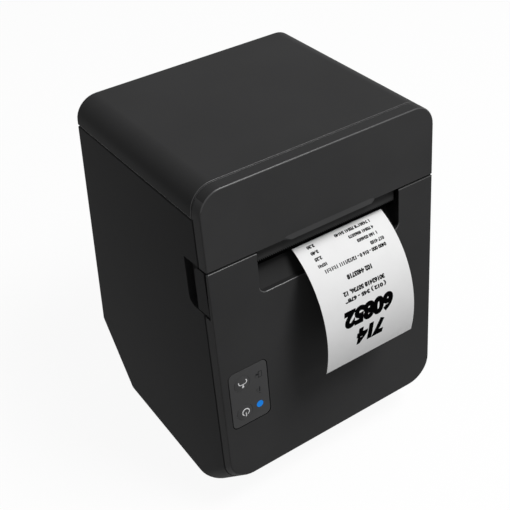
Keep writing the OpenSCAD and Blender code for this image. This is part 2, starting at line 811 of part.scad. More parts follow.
bin_top = lid_z(back_y, lid_drop) - 6;
side_front = path_yz(24, 0)[0];
module bin_ring() {
  difference() {
    translate(bin_yz) circle(bin_out, $fn = 96);
    translate(bin_yz) circle(bin_r, $fn = 96);
  }
}
module roll_bin() {
  low = floor_z + wall - 1;
  flange = 2.5;
  color("#242425") {
    // Trough that the roll lies in, low at the front and high at the back
    across(-bin_half, bin_half) intersection() {
      bin_ring();
      union() {
        translate(bin_yz - [bin_out, bin_out + 1]) square([bin_out, bin_out + 12]);
        translate(bin_yz - [0, bin_out + 1]) square([bin_out, bin_top - bin_yz[1] + bin_out + 1]);
      }
    }
    // Side panels that stand on the base plate, with bosses for the side plates
    both_sides() difference() {
      union() {
        across(bin_half, bin_half + side_t) polygon([
          [side_foot[0], low], [side_foot[1], low], [side_foot[1], bay_top + 8],
          [bin_yz[0] + bin_out, bin_yz[1] - 18], [bin_yz[0] + bin_out, bin_top],
          [bin_yz[0] - bin_out + 4, bin_top], [side_front, bin_yz[1] + 15],
          [side_front, bin_yz[1] - 4], [side_front + 5, bin_yz[1] - 18], [side_foot[0], bin_yz[1] - 44]
        ]);
        box([bin_half, bin_half + 9], side_foot, [low, low + flange]);
        for (p = boss_spots) rod(2 * screw_r, bin_half + side_t - 0.5, plate_x, p);
      }
      for (p = boss_spots) rod(screw_r + 0.02, plate_x - boss_depth, plate_x + 1, p);
      translate([plate_half - 4, screw_rows[1], low - 1]) cylinder(r = base_screw_r + 0.02, h = flange + 2);
    }
  }
}
boss_spots = [path_yz(22, -40), path_yz(27, -13)];
boss_depth = 4;
screw_r = 1.5;
// A plate across the bin, open at its top so that the roll's core can be seen and turned
module width_guide() {
  x = paper_right - paper_w - gap;
  opening = [bin_r * 1.1, 44];
  color("#242425") across(x - 2, x) intersection() {
    difference() {
      translate(bin_yz) circle(bin_r - 0.05, $fn = 96);
      translate(bin_yz + [0, 14]) square(opening, center = true);
    }
    translate(bin_yz - [bin_r, bin_r + 1]) square([2 * bin_r, bin_r + 13]);
  }
}
module near_end_sensor() {
  x = bin_half + side_t;
  color("#131313") {
    box([x, x + 7], [bin_yz[0] - 9, bin_yz[0] + 9], [roll_yz[1] - 16, roll_yz[1] - 6]);
    rod(2, x + 7, x + 9, [bin_yz[0] + 4, roll_yz[1] - 11]);
  }
}
module paper_roll() {
  color("white") tube(roll_r, core_r, paper_right - paper_w, paper_right, roll_yz);
}
module roll_core() {
  color("tan") tube(core_r - 0.02, core_r - core_wall, paper_right - paper_w, paper_right, roll_yz);
}
module paper_web() {
  color("white") on_path() across(paper_right - paper_w, paper_right)
    translate([blade_t / 2 + gap, -paper_t / 2])
      square([roll_run + roll_r - blade_t / 2 - gap, paper_t]);
}
// The receipt, with the narrow bridge in the middle that the cutter spares
module receipt() {
  start = -blade_t / 2 - gap;
  half_t = paper_t / 2;
  side = [for (i = [0:curl_steps]) let (a = curl_angle(i * curl_step))
    leave_yz + curl[i] + half_t * [-sin(a), cos(a)]];
  other = [for (i = [curl_steps:-1:0]) let (a = curl_angle(i * curl_step))
    leave_yz + curl[i] - half_t * [-sin(a), cos(a)]];
  color("white") {
    across(paper_right - paper_w, paper_right)
      polygon(concat([path_yz(start, half_t)], side, other, [path_yz(start, -half_t)]));
    across(gap - notch_half, notch_half - gap)
      polygon([path_yz(start - 1, half_t), path_yz(-start, half_t),
               path_yz(-start, -half_t), path_yz(start - 1, -half_t)]);
  }
}

// ---- Feed ----

latch_at = to_path(latch_yz);
function to_path(p) = let (d = p - path_yz(0, 0))
  [d[0] * cos(path_tilt) + d[1] * sin(path_tilt), d[1] * cos(path_tilt) - d[0] * sin(path_tilt)];
bush_r = shaft_r + 2;
plate_screws = [to_path(boss_spots[0]), to_path(boss_spots[1])];
cut_rack_y = -2.2;
cut_pinion_at = [cut_rack_y - gear_half * pinion_teeth, -31];
module plate_outline() {
  difference() {
    union() {
      hull() {
        translate(platen_at) circle(9);
        translate([24, -2]) circle(5);
        translate([30, -14]) circle(6);
      }
      hull() {
        translate(platen_at + [-4, -2]) circle(7);
        translate(latch_at) circle(5);
        translate([-2, -22]) circle(4);
      }
      hull() {
        translate(pinion_at) circle(motor_r - 1);
        translate([22, -42]) circle(6);
        translate([30, -14]) circle(6);
        translate([0, -20]) circle(5);
      }
    }
    translate(platen_at) circle(bush_r + 0.02);
    translate(latch_at) circle(latch_r + run_fit);
    for (p = plate_screws) translate(p) circle(screw_r + 0.1);
  }
}
module mech_plate_left() {
  color("silver") on_path() across(-plate_x - plate_t, -plate_x) plate_outline();
}
// The right plate carries the motor and the idler's riveted pin
module mech_plate_right() {
  end = gear_x + gear_w + gap;
  color("silver") on_path() {
    across(plate_x, plate_x + plate_t) difference() {
      plate_outline();
      translate(pinion_at) circle(4);
    }
    rod(2, plate_x + plate_t, end, idler_at);
    rod(3, end, end + 1, idler_at);
  }
}
module mech_bridge() {
  color("silver") on_path() {
    box([-plate_x, plate_x], [3.5, 15], [-17.5, -16]);
    both_sides() box([plate_x - 1.5, plate_x], [3.5, 15], [-16, -13]);
    // Bracket for the cutter motor
    difference() {
      box([bracket_x, bracket_x + bracket_t], [-14, 12], [-40, -17.5]);
      rod(3.1, bracket_x - 2, bracket_x + 4, cut_pinion_at);
    }
  }
}
module mech_screws() {
  color("gray") on_path() both_sides() for (p = plate_screws) {
    rod(screw_r, plate_x - boss_depth + 0.5, plate_x + plate_t, p);
    rod(screw_r + 1.2, plate_x + plate_t, plate_x + plate_t + 1, p);
  }
}
module paper_guide() {
  color("#2a2a2b") on_path() difference() {
    union() {
      box([gap - bin_half, bin_half - gap], [18.6, 32], [-2.4, -1]);
      both_sides() box([bin_half - 2, plate_x], [18.6, 21.5], [-6, -2.4]);
    }
    box(sensor_x, sensor_y, [-8, 0]);
  }
}
sensor_x = [4, 16];
sensor_y = [20, 25];
module paper_sensor() {
  color("#101010") on_path() {
    box(sensor_x + [slip, -slip], sensor_y + [slip, -slip], [-7, -1]);
    box(sensor_x + [-2, 2], sensor_y + [-1, 1], [-4.4, -2.4]);
  }
}
module cover_switch() {
  x = plate_x + plate_t;
  color("#101010") on_path() {
    box([-x - 6, -x], [17.5, 29], [-8, -2]);
    box([-x - 4, -x - 2], [19, 28], [-2, -1.2]);
  }
}
module platen_roller() {
  color("#1d1d1d") on_path() tube(platen_r, shaft_r + 0.5 + 0.02, -platen_half, platen_half, platen_at);
}
module platen_shaft() {
  color("silver") on_path() {
    rod(shaft_r + 0.5, -platen_half - 1, platen_half + 1, platen_at);
    rod(shaft_r, -plate_x - plate_t - 3, plate_x + plate_t + gear_w + 2.5, platen_at);
  }
}
gear_x = plate_x + plate_t + 1.2;
module platen_gear() {
  color("ivory") gear(platen_teeth, idler_dir, platen_at, shaft_r + 0.02, gear_x, gear_x + gear_w);
}
module platen_bearings() {
  color("goldenrod") on_path() both_sides() difference() {
    union() {
      rod(bush_r, plate_x - 2, plate_x + plate_t + 0.7, platen_at);
      rod(bush_r + 1.2, plate_x - 2, plate_x - 0.02, platen_at);
    }
    rod(shaft_r + run_fit, plate_x - 5, plate_x + 5, platen_at);
  }
}
module idler_gear() {
  color("ivory") gear(idler_teeth, idler_phase, idler_at, 2 + run_fit, gear_x, gear_x + gear_w);
}
module feed_motor() {
  color("#8f9295") on_path() difference() {
    union() {
      rod(motor_r, plate_x - motor_len, plate_x, pinion_at);
      rod(3.8, plate_x, plate_x + plate_t, pinion_at);
    }
    rod(1 + run_fit, plate_x - 4, plate_x + 9, pinion_at);
  }
}
module motor_pinion() {
  color("goldenrod") {
    gear(pinion_teeth, pinion_phase, pinion_at, 1.02, gear_x, gear_x + gear_w);
    on_path() rod(1, plate_x - 3, gear_x + gear_w + 0.8, pinion_at);
  }
}

// ---- Cutter ----

blade_low = -14;
blade_tip = -1.4;
module blade_guides() {
  color("#2f2f30") on_path() both_sides() difference() {
    box([blade_half - 2.4, plate_x], [-3.2, 3.2], [blade_low - 4, -2]);
    box([0, blade_half + gap], [-blade_t / 2 - 0.1, blade_t / 2 + 0.1], [-60, 9]);
  }
}
module moving_blade() {
  color("lightgray") on_path() translate([0, blade_t / 2, 0]) rotate([90, 0, 0]) linear_extrude(blade_t)
    polygon([[-blade_half, blade_low], [blade_half, blade_low], [blade_half, blade_tip],
             [notch_half, blade_tip - 1.8], [notch_half, blade_tip - 8], [-notch_half, blade_tip - 8],
             [-notch_half, blade_tip - 1.8], [-blade_half, blade_tip]]);
}
rack_x = 9 - blade_half;
bracket_x = rack_x + 6;
bracket_t = 1.5;
cut_motor_len = 26.5;
module blade_carrier() {
  pitch = PI * gear_m;
  foot = cut_pinion_at[1] - cut_travel - 7;
  back = 2.2;
  root = cut_rack_y + 1.2 * gear_m;
  color("#39393a") on_path() {
    box([rack_x - gear_w / 2, blade_half - 7], [blade_t / 2 + 0.02, back], [blade_low, blade_low + 5]);
    across(rack_x - gear_w / 2, rack_x + gear_w / 2) polygon(concat(
      [[back, foot], [back, blade_low], [blade_t / 2 + 0.02, blade_low], [root, blade_low - 0.1]],
      [for (i = [6:-1:-6]) let (z = cut_pinion_at[1] + i * pitch)
        if (z < blade_low - 3 && z > foot + 2) each [for (p = rack_tooth) [cut_rack_y + p[0], z + p[1]]]],
      [[root, foot]]));
  }
}
// Corners of one rack tooth, from its upper root to its lower root
rack_tooth = let (half = 0.25 * PI * gear_m * 0.95, t = tan(20)) [
  [1.2 * gear_m, half + 1.2 * gear_m * t], [-0.85 * gear_m, half - 0.85 * gear_m * t],
  [-0.85 * gear_m, -half + 0.85 * gear_m * t], [1.2 * gear_m, -half - 1.2 * gear_m * t]];
module cutter_pinion() {
  color("goldenrod") {
    gear(pinion_teeth, 180 / pinion_teeth, cut_pinion_at, 1.52, rack_x - gear_w / 2, rack_x + gear_w / 2);
    on_path() rod(1.5, rack_x - gear_w / 2 - 1, bracket_x + 4, cut_pinion_at);
  }
}
module cutter_motor() {
  color("#9a9da0") on_path() difference() {
    union() {
      rod(cut_motor_r, bracket_x + bracket_t, bracket_x + bracket_t + cut_motor_len, cut_pinion_at);
      rod(3, bracket_x, bracket_x + bracket_t, cut_pinion_at);
    }
    rod(1.5 + run_fit, bracket_x - 2, bracket_x + 5, cut_pinion_at);
  }
}

// ---- Lever and latch ----

module release_lever() {
  foot = (top_z - tab_foot) / cos(lean);
  r = 4;
  round_top = [for (i = [0:8]) let (a = 90 * i / 8)
    face_yz(tab_rear[0] - r + r * sin(a), tab_top + r - r * cos(a))];
  color("#2c2c2d") difference() {
    union() {
      across(-half_w, tab_t - half_w) polygon(concat([face_yz(tab_front[0], tab_top)], round_top,
        [face_yz(tab_rear[1], foot), face_yz(tab_front[1], foot)]));
      rod(lever_r, tab_t - half_w - 1, recess_d - half_w - gap, latch_yz);
    }
    rod(latch_r + 0.02, tab_t - half_w - 0.4, 0, latch_yz);
  }
}
module latch_shaft() {
  color("silver") rod(latch_r, tab_t - half_w, hook_x + hook_t + 1, latch_yz);
}
module latch_hooks() {
  tip = bar_yz + [-bar_r - 1.4, 0];
  color("silver") for (x = [-hook_x - hook_t, hook_x]) across(x, x + hook_t) difference() {
    union() {
      translate(latch_yz) circle(4);
      polygon([latch_yz + [-3.9, 0], latch_yz + [3.9, 0], tip + [0, -3], tip + [0, bar_r + 1],
               tip + [1, bar_r + 1.6], tip + [0.4, bar_r + 4], tip + [-1.6, bar_r + 4.6],
               tip + [-3, bar_r + 3], tip + [-3, -3]]);
    }
    translate(latch_yz) circle(latch_r + 0.02);
  }
}

// Coil of the lever's return spring, round the shaft beside the left plate
module lever_spring() {
  wire = 0.35;
  turns = 5;
  color("gray") for (i = [0:turns - 1])
    translate([-plate_x - plate_t - 1.2 - i * 2.05 * wire, latch_yz[0], latch_yz[1]])
      rotate([0, 90, 0]) rotate_extrude() translate([latch_r + wire + 0.05, 0]) circle(wire, $fn = 16);
}

// ---- Cover ----

module top_cover() {
  color("#363637") difference() {
    union() {
      difference() {
        hull() {
          lid_block(0, edge);
          lid_block(edge, 0);
        }
        form(wall);
      }
      both_sides() {
        rod(knuckle_r, hinge_x - knuckle_l / 2, hinge_x + knuckle_l / 2, hinge_yz);
        across(hinge_x - knuckle_l / 2, hinge_x + knuckle_l / 2)
          polygon([hinge_yz + [-gap - wall / 2, 0], hinge_yz + [knuckle_r, 0], hinge_yz + [-gap, 9],
                   hinge_yz + [-gap - wall / 2, 9]]);
      }
    }
    both_sides() for (x = [-1, 1]) let (m = hinge_x + x * (lug_in + lug_l / 2))
      rod(knuckle_r + gap, m - lug_l / 2 - gap, m + lug_l / 2 + gap, hinge_yz);
    rod(pin_r + run_fit, -half_w, half_w, hinge_yz);
  }
}
module hinge_pins() {
  end = lug_in + lug_l;
  color("silver") both_sides() rod(pin_r, hinge_x - end, hinge_x + end, hinge_yz);
}
module upper_front_cover() {
  color("#343435") difference() {
    hull() {
      upper_block(0, edge);
      upper_block(edge, 0);
    }
    form(wall);
  }
  color("#343435") {
    grip_lip();
    nose();
  }
}
// Lip that stands out of the cover's bottom edge for a finger to lift, tapered away at both ends
module grip_lip() {
  taper = 4;
  tip = 0.3;
  inside = edge + 0.3;
  middle = lip_w / 2 - taper;
  on_front() translate([exit_x, 0, -front_drop]) hull() {
    across(-middle, middle)
      polygon([[0, lip_h], [-lip_out, 0], [tip - lip_out, -tip], [inside, seam / 2], [inside, lip_h]]);
    box([-lip_w / 2, lip_w / 2], [edge, inside], [seam / 2, lip_h]);
  }
}
// Nose behind the tear bar, hung from the wall above it, that hides the cutter from the front
module nose() {
  t = 1.5;
  root = front_drop - 12;
  tip = leave_drop - nose_clear;
  across(exit_x - exit_half + gap, exit_x + exit_half - gap) polygon([
    face_yz(wall - 0.3, root), face_yz(nose_depth + t, root), face_yz(nose_depth + t, tip - 0.8),
    face_yz(nose_depth + 0.3, tip), face_yz(nose_depth, tip - 0.3), face_yz(nose_depth, root + t),
    face_yz(wall - 0.3, root + t)]);
}
cheek_front = path_yz(-1, 8);
module cover_frame() {
  color("#29292a") {
    on_top() difference() {
      box([wall + 1 - half_w, half_w - wall - 1], [16, top_d - wall - 1], [-frame_top - frame_t, -frame_top]);
      box([-20, 20], [60, 90], [-frame_top - frame_t - 1, -frame_top + 1]);
    }
    // Posts up to the lid
    for (x = [18 - half_w, half_w - 18], y = [30, top_d - 19]) on_top() translate([x, y, -frame_top])
      cylinder(r = 3, h = frame_top - wall - 0.1);
    // Cheeks that carry the print head and the latch bar
    both_sides() across(cheek_x, cheek_x + side_t) difference() {
      polygon([path_yz(-1, 8), path_yz(3, 3.5), path_yz(27, 3.5), path_yz(33, 14),
               [path_yz(33, 14)[0] + 3, lid_z(path_yz(33, 14)[0] + 3, frame_top + frame_t)],
               [front_top_y + 18, lid_z(front_top_y + 18, frame_top + frame_t)],
               [cheek_front[0] + 1.5, cheek_front[1] + 10]]);
      translate(bar_yz) circle(bar_r + 0.02);
    }
  }
}
module latch_bar() {
  color("silver") rod(bar_r, -hook_x - hook_t - 1, hook_x + hook_t + 1, bar_yz);
}
head_gap = 0.45;
module thermal_head() {
  color("#5a5148") on_path() box([-head_half, head_half], [8, 22], [head_gap, head_gap + 1.2]);
}
module head_heatsink() {
  low = head_gap + 1.2;
  color("lightgray") on_path() difference() {
    box([-head_half, head_half], [6, 26], [low, 6.5]);
    for (y = [9:3:23]) box([-head_half - 1, head_half + 1], [y, y + 1.2], [4.4, 7]);
  }
}
module head_bracket() {
  color("silver") on_path() {
    across(-cheek_x, cheek_x)
      polygon([[2.02, 3.5], [3.5, 3.5], [3.5, 11], [26, 11], [26, 12.5], [2.02, 12.5]]);
  }
}
module head_springs() {
  coils = 6;
  low = 6.5;
  high = 11;
  color("gray") on_path() for (x = [-26, 26], i = [0:coils - 1])
    translate([x, 16, low + 0.4 + (high - low - 0.8) * i / (coils - 1)])
      rotate_extrude() translate([2.6, 0]) circle(0.36, $fn = 16);
}
module fixed_blade() {
  color("lightgray") on_path() difference() {
    box([-cheek_x, cheek_x], [blade_t / 2 + 0.3, 2], [head_gap, 9]);
    for (x = [-30, 30]) translate([x, 3, 6.5]) rotate([90, 0, 0]) cylinder(r = 1.2, h = 4);
  }
}
module tear_bar() {
  w = 2 * exit_half - 3;
  n = floor(w / tear_pitch);
  tip = -front_drop - tear_down;
  teeth = [for (i = [0:n]) each [[i * tear_pitch, tip + tear_tooth], [(i + 0.5) * tear_pitch, tip]]];
  color("#7d7f82") on_front() translate([exit_x - exit_half + 1.8, tear_depth + tear_t, 0]) rotate([90, 0, 0])
    linear_extrude(tear_t)
      polygon(concat([[0, -front_drop + 9]], teeth, [[n * tear_pitch + 1, -front_drop + 9]]));
}

body_shell();
base_plate();
rubber_feet();
base_screws();
front_panel();
exit_chute();
control_panel();
blue_lens();
status_lenses();
feed_button();
power_button();
panel_board();
main_board();
board_parts();
board_capacitors();
port_plate();
dc_jack();
data_ports();
drawer_port();
roll_bin();
width_guide();
near_end_sensor();
paper_roll();
roll_core();
paper_web();
receipt();
mech_plate_left();
mech_plate_right();
mech_bridge();
mech_screws();
paper_guide();
paper_sensor();
cover_switch();
platen_roller();
platen_shaft();
platen_gear();
platen_bearings();
idler_gear();
feed_motor();
motor_pinion();
blade_guides();
moving_blade();
blade_carrier();
cutter_motor();
cutter_pinion();
release_lever();
latch_shaft();
latch_hooks();
lever_spring();
top_cover();
upper_front_cover();
cover_frame();
hinge_pins();
latch_bar();
thermal_head();
head_heatsink();
head_bracket();
head_springs();
fixed_blade();
tear_bar();
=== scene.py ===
# %% [markdown]
# # A desktop receipt printer, dressed
# The printer is a black plastic box that stands upright. Paper comes out of its front, a lever on
# its left side frees the lid, and a small panel at the lower left carries two keys and three lamps.
# The moving parts were built as solids before this script runs, so they arrive as a fixed frame.
# Everything here adds what solids lack: soft edges, printed paper, raised signs and finishes,
# some of them with painted light and shade.

# %% Load the frame
import json
import math
import bpy
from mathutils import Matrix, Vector


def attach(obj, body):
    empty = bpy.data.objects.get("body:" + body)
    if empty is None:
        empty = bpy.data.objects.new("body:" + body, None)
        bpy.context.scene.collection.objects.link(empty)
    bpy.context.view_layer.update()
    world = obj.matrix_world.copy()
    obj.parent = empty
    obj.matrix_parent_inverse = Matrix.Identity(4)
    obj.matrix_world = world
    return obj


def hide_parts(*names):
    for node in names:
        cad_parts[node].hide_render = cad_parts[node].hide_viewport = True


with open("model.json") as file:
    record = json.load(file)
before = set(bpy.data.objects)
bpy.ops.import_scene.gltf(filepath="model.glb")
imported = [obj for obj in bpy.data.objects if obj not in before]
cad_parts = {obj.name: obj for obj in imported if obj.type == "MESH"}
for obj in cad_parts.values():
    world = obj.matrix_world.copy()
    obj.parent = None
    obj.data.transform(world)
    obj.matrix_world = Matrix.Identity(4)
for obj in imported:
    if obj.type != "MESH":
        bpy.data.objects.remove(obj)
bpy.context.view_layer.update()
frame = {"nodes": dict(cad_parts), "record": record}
nodes = frame["nodes"]
mm = 0.001

# %% [markdown]
# The camera comes first, because every later look is judged through it. It stands to the left of
# the printer and well above it, so the top, the leaning front and the left side all show. A long
# lens keeps the upright edges nearly parallel.

# %% Camera
camera_place = Vector((-0.25007201, -0.34448210, 0.45750873))
camera_aim = Vector((0.44251821, 0.62902061, -0.63914842))
camera_turn = camera_aim.to_track_quat("-Z", "Y").to_euler()
lens_length = 70.1376
bpy.ops.object.select_all(action="DESELECT")
bpy.ops.object.camera_add(location=camera_place, rotation=camera_turn)
camera = bpy.context.object
camera.name = "camera"
camera.data.lens = lens_length
camera.data.sensor_width = 36
camera.data.clip_start = 0.01
bpy.context.scene.camera = camera
print("camera looks down by", round(math.degrees(math.asin(-camera_aim.z)), 1), "degrees")

# %% [markdown]
# ## A short way to write shaders
# A finish is a tree of nodes. Joining nodes by hand takes many lines, so two small classes do it.
# `Wire` wraps one output, and Python's own signs work on it: `1 - mask` adds a Math node and gives
# its output back. `Finish` owns a material, and its `node` method makes every other node.

# %% Wire, an output that understands arithmetic
class Wire:
    def __init__(self, finish, socket):
        self.finish = finish
        self.socket = socket

    def step(self, operation, first, second):
        made = self.finish.node("ShaderNodeMath", {"operation": operation}, {0: first, 1: second})
        return made["Value"]

    def __add__(self, other):
        return self.step("ADD", self, other)

    def __radd__(self, other):
        return self.step("ADD", other, self)

    def __sub__(self, other):
        return self.step("SUBTRACT", self, other)

    def __rsub__(self, other):
        return self.step("SUBTRACT", other, self)

    def __mul__(self, other):
        return self.step("MULTIPLY", self, other)

    def __rmul__(self, other):
        return self.step("MULTIPLY", other, self)

    def __pow__(self, other):
        return self.step("POWER", self, other)

    def __gt__(self, other):
        return self.step("GREATER_THAN", self, other)

    def __lt__(self, other):
        return self.step("LESS_THAN", self, other)


# %% Finish, a material under construction
class Outputs:
    def __init__(self, finish, made):
        self.finish = finish
        self.made = made

    def __getitem__(self, key):
        return Wire(self.finish, self.made.outputs[key])


class Finish:
    def __init__(self, name, owner=None):
        self.owner = owner or bpy.data.materials.new(name)
        self.owner.use_nodes = True
        self.tree = self.owner.node_tree
        self.tree.nodes.clear()

    def node(self, kind, settings=None, values=None):
        made = self.tree.nodes.new(kind)
        for key, value in (settings or {}).items():
            setattr(made, key, value)
        for key, value in (values or {}).items():
            socket = made.inputs[key]
            if isinstance(value, Wire):
                self.tree.links.new(value.socket, socket)
            elif isinstance(value, tuple) and len(value) == 3 and len(socket.default_value) == 4:
                socket.default_value = (*value, 1)
            else:
                socket.default_value = value
        return Outputs(self, made)

    # Place on the piece, in metres, stretched by a factor along each axis and then shifted
    def place(self, stretch=(1, 1, 1), shift=(0, 0, 0)):
        at = self.node("ShaderNodeTexCoord")["Object"]
        return self.node("ShaderNodeMapping", {}, {"Vector": at, "Scale": stretch,
                                                   "Location": shift})["Vector"]

    def noise(self, size, detail, where=None, rough=0.5):
        where = where or self.place()
        return self.node("ShaderNodeTexNoise", {}, {"Vector": where, "Scale": 1 / size,
                                                    "Detail": detail, "Roughness": rough})["Fac"]

    # Between two colours by a factor. Several sockets share a name, so they go by number
    def blend(self, factor, first, second):
        made = self.node("ShaderNodeMix", {"data_type": "RGBA"}, {0: factor, 6: first, 7: second})
        return made[2]

    # How far a value is on its way from low to high, held between 0 and 1
    def spread(self, value, low, high):
        return self.node("ShaderNodeMapRange", {}, {"Value": value, "From Min": low,
                                                    "From Max": high})["Result"]

    def bump(self, height, deep):
        return self.node("ShaderNodeBump", {}, {"Height": height, "Distance": deep})["Normal"]

    def surface(self, **values):
        sockets = {key.replace("_", " "): value for key, value in values.items()}
        shader = self.node("ShaderNodeBsdfPrincipled", {}, sockets)
        self.node("ShaderNodeOutputMaterial", {}, {"Surface": shader["BSDF"]})
        return self.owner


def parts(wire):
    made = wire.finish.node("ShaderNodeSeparateXYZ", {}, {"Vector": wire})
    return made["X"], made["Y"], made["Z"]


# %% [markdown]
# ## Floor and light
# The printer stands on a plain pale floor that runs on to the horizon, under an even sky, one large
# soft lamp and a weak one. The camera sees the floor as nearly white, but it still takes the
# printer's shadow. The lamps stand over the right shoulder, so the top is lightest and the left
# side darkest.

# %% Floor
floor_size = 12
floor_bounce = (0.32, 0.32, 0.32)
floor_glow = 0.93
white = (1, 1, 1)
bpy.ops.object.select_all(action="DESELECT")
bpy.ops.mesh.primitive_plane_add(size=floor_size, location=(0, 0, 0))
floor = bpy.context.object
floor.name = "floor"


# 1 for the camera's own rays and those it sends through or off a shiny face, and 0 for all others
def seen_directly(finish):
    path = finish.node("ShaderNodeLightPath")
    seen = path["Is Camera Ray"] + path["Is Glossy Ray"] + path["Is Transmission Ray"]
    return finish.spread(seen, 0, 1)


paving = Finish("floor_white")
seen = seen_directly(paving)
matt = paving.node("ShaderNodeBsdfDiffuse", {}, {"Color": paving.blend(seen, floor_bounce, white)})
glow = paving.node("ShaderNodeEmission", {}, {"Color": white, "Strength": 1.0})
mixed = paving.node("ShaderNodeMixShader", {}, {0: seen * floor_glow, 1: matt["BSDF"],
                                                2: glow["Emission"]})
paving.node("ShaderNodeOutputMaterial", {}, {"Surface": mixed["Shader"]})
floor.data.materials.append(paving.owner)
print("floor", floor_size, "m across")

# %% Sky and lamps
sky_strength = 0.20
lamp_aim = Vector((0, 0, 0.1))
world = bpy.data.worlds.new("studio")
bpy.context.scene.world = world
sky = Finish("studio", world)
pale = sky.node("ShaderNodeBackground", {}, {"Color": white, "Strength": 1.0})
dim = sky.node("ShaderNodeBackground", {}, {"Color": white, "Strength": sky_strength})
both = sky.node("ShaderNodeMixShader", {}, {0: seen_directly(sky), 1: dim["Background"],
                                            2: pale["Background"]})
sky.node("ShaderNodeOutputWorld", {}, {"Surface": both["Shader"]})


def lamp(name, place, size, watts):
    bpy.ops.object.select_all(action="DESELECT")
    turn = (lamp_aim - Vector(place)).to_track_quat("-Z", "Y").to_euler()
    bpy.ops.object.light_add(type="AREA", location=place, rotation=turn)
    made = bpy.context.object
    made.name = name
    made.data.shape = "SQUARE"
    made.data.size = size
    made.data.energy = watts
    print(name, watts, "W")


lamp("lamp_over", (0.40, -0.47, 1.30), 0.55, 15.0)
lamp("lamp_front", (0.66, -1.07, 0.91), 0.3, 2.0)
bpy.context.scene.view_settings.view_transform = "Standard"

# %% [markdown]
# ## Finishes
# Black moulded plastic is never quite black: it has a fine spark-eroded grain that breaks up the
# shine, and it is a little uneven where the mould filled. The grain is a small bump, the unevenness
# a slow change of colour and roughness. Sizes and depths of a grain are in millimetres.

# %% Plastics
patch_size = 60


def plastic(name, colour, rough=0.6, grain=0.35, depth=0.012, level=0.05, even=0.08):
    finish = Finish(name)
    slow = finish.noise(patch_size * mm, 3)
    fine = finish.noise(grain * mm, 2, rough=0.6)
    light = tuple(min(1, c * (1 + even)) for c in colour)
    dark = tuple(c * (1 - even) for c in colour)
    tone = finish.blend(finish.spread(slow, 0.35, 0.65), dark, light)
    shine = rough + 0.06 * (slow - 0.5) + 0.05 * (fine - 0.5)
    return finish.surface(Base_Color=tone, Roughness=shine, Specular_IOR_Level=level,
                          Normal=finish.bump(fine, depth * mm))


# cover_black, front_black, upper_black and housing_black are one plastic. Their colours are set
# apart part by part for how much light each part gets, so the differences are painted light and
# shade: the top cover is painted darker and the fronts lighter.
cover_black = plastic("cover_black", (0.0270, 0.0270, 0.0274))
front_black = plastic("front_black", (0.0375, 0.0375, 0.0380))
upper_black = plastic("upper_black", (0.0415, 0.0415, 0.0420))
housing_black = plastic("housing_black", (0.0262, 0.0262, 0.0266), level=0.03)
# The next finish is painted light: the same black made lighter for the left edge of the front and
# the band beside it, which stand away from the lamps.
side_painted_light = plastic("side_painted_light", (0.0560, 0.0560, 0.0565))
# The next three edge finishes shine more than the plastic, which is real, and are lighter in
# colour, which is a painted highlight.
cover_edge_painted_highlight = plastic("cover_edge_painted_highlight", (0.055, 0.055, 0.056), 0.30, 0.5, 0.003, level=0.5)
front_edge_painted_highlight = plastic("front_edge_painted_highlight", (0.048, 0.048, 0.049), 0.30, 0.5, 0.003, level=0.26)
lip_edge_painted_highlight = plastic("lip_edge_painted_highlight", (0.055, 0.055, 0.056), 0.28, 0.5, 0.003, level=0.7)
# The next finish is painted shade: a near-black colour put on chamfers and faces that lie in shade.
gap_painted_shade = plastic("gap_painted_shade", (0.0020, 0.0020, 0.0021), rough=0.8, depth=0.002, level=0.0)
inner_black = plastic("inner_black", (0.0120, 0.0120, 0.0122), rough=0.42, grain=0.6)
lever_black = plastic("lever_black", (0.0255, 0.0255, 0.0259), level=0.03)
panel_grey = plastic("panel_grey", (0.067, 0.067, 0.068), rough=0.42, grain=0.2, depth=0.006)
key_grey = plastic("key_grey", (0.065, 0.065, 0.066), rough=0.40, grain=0.2, depth=0.006)
symbol_white = plastic("symbol_white", (0.88, 0.88, 0.89), rough=0.5, grain=0.15, depth=0.004)
mark_dark = plastic("mark_dark", (0.017, 0.017, 0.018), rough=0.45, grain=0.15, depth=0.004)
gear_ivory = plastic("gear_ivory", (0.72, 0.68, 0.58), rough=0.38, grain=0.5, level=0.4, even=0.03)
case_black = plastic("case_black", (0.010, 0.010, 0.011), rough=0.38, grain=0.25)
print("materials so far", len(bpy.data.materials))

# %% [markdown]
# The steel parts are of two kinds. Sheet parts are zinc plated, with a cloudy spangle and a light
# scratch along the rolling direction. Shafts are ground, so they carry fine rings round their axis,
# which runs along X here. Both come from noise that is stretched along or across the part.

# %% Metals
spangle_size = 4


def metal(name, colour, rough, stretch, size, depth=0.004, spangle=0.12):
    finish = Finish(name)
    cloud = finish.node("ShaderNodeTexVoronoi", {"feature": "SMOOTH_F1"},
                        {"Vector": finish.place(), "Scale": 1 / (spangle_size * mm)})["Distance"]
    lines = finish.noise(size * mm, 2, finish.place(stretch))
    light = tuple(min(1, c * (1 + spangle)) for c in colour)
    tone = finish.blend(finish.spread(cloud + 0.4 * lines, 0.3, 1.1), light, colour)
    shine = rough + 0.14 * (lines - 0.5) + 0.08 * (cloud - 0.4)
    return finish.surface(Base_Color=tone, Metallic=1.0, Roughness=shine,
                          Normal=finish.bump(lines, depth * mm))


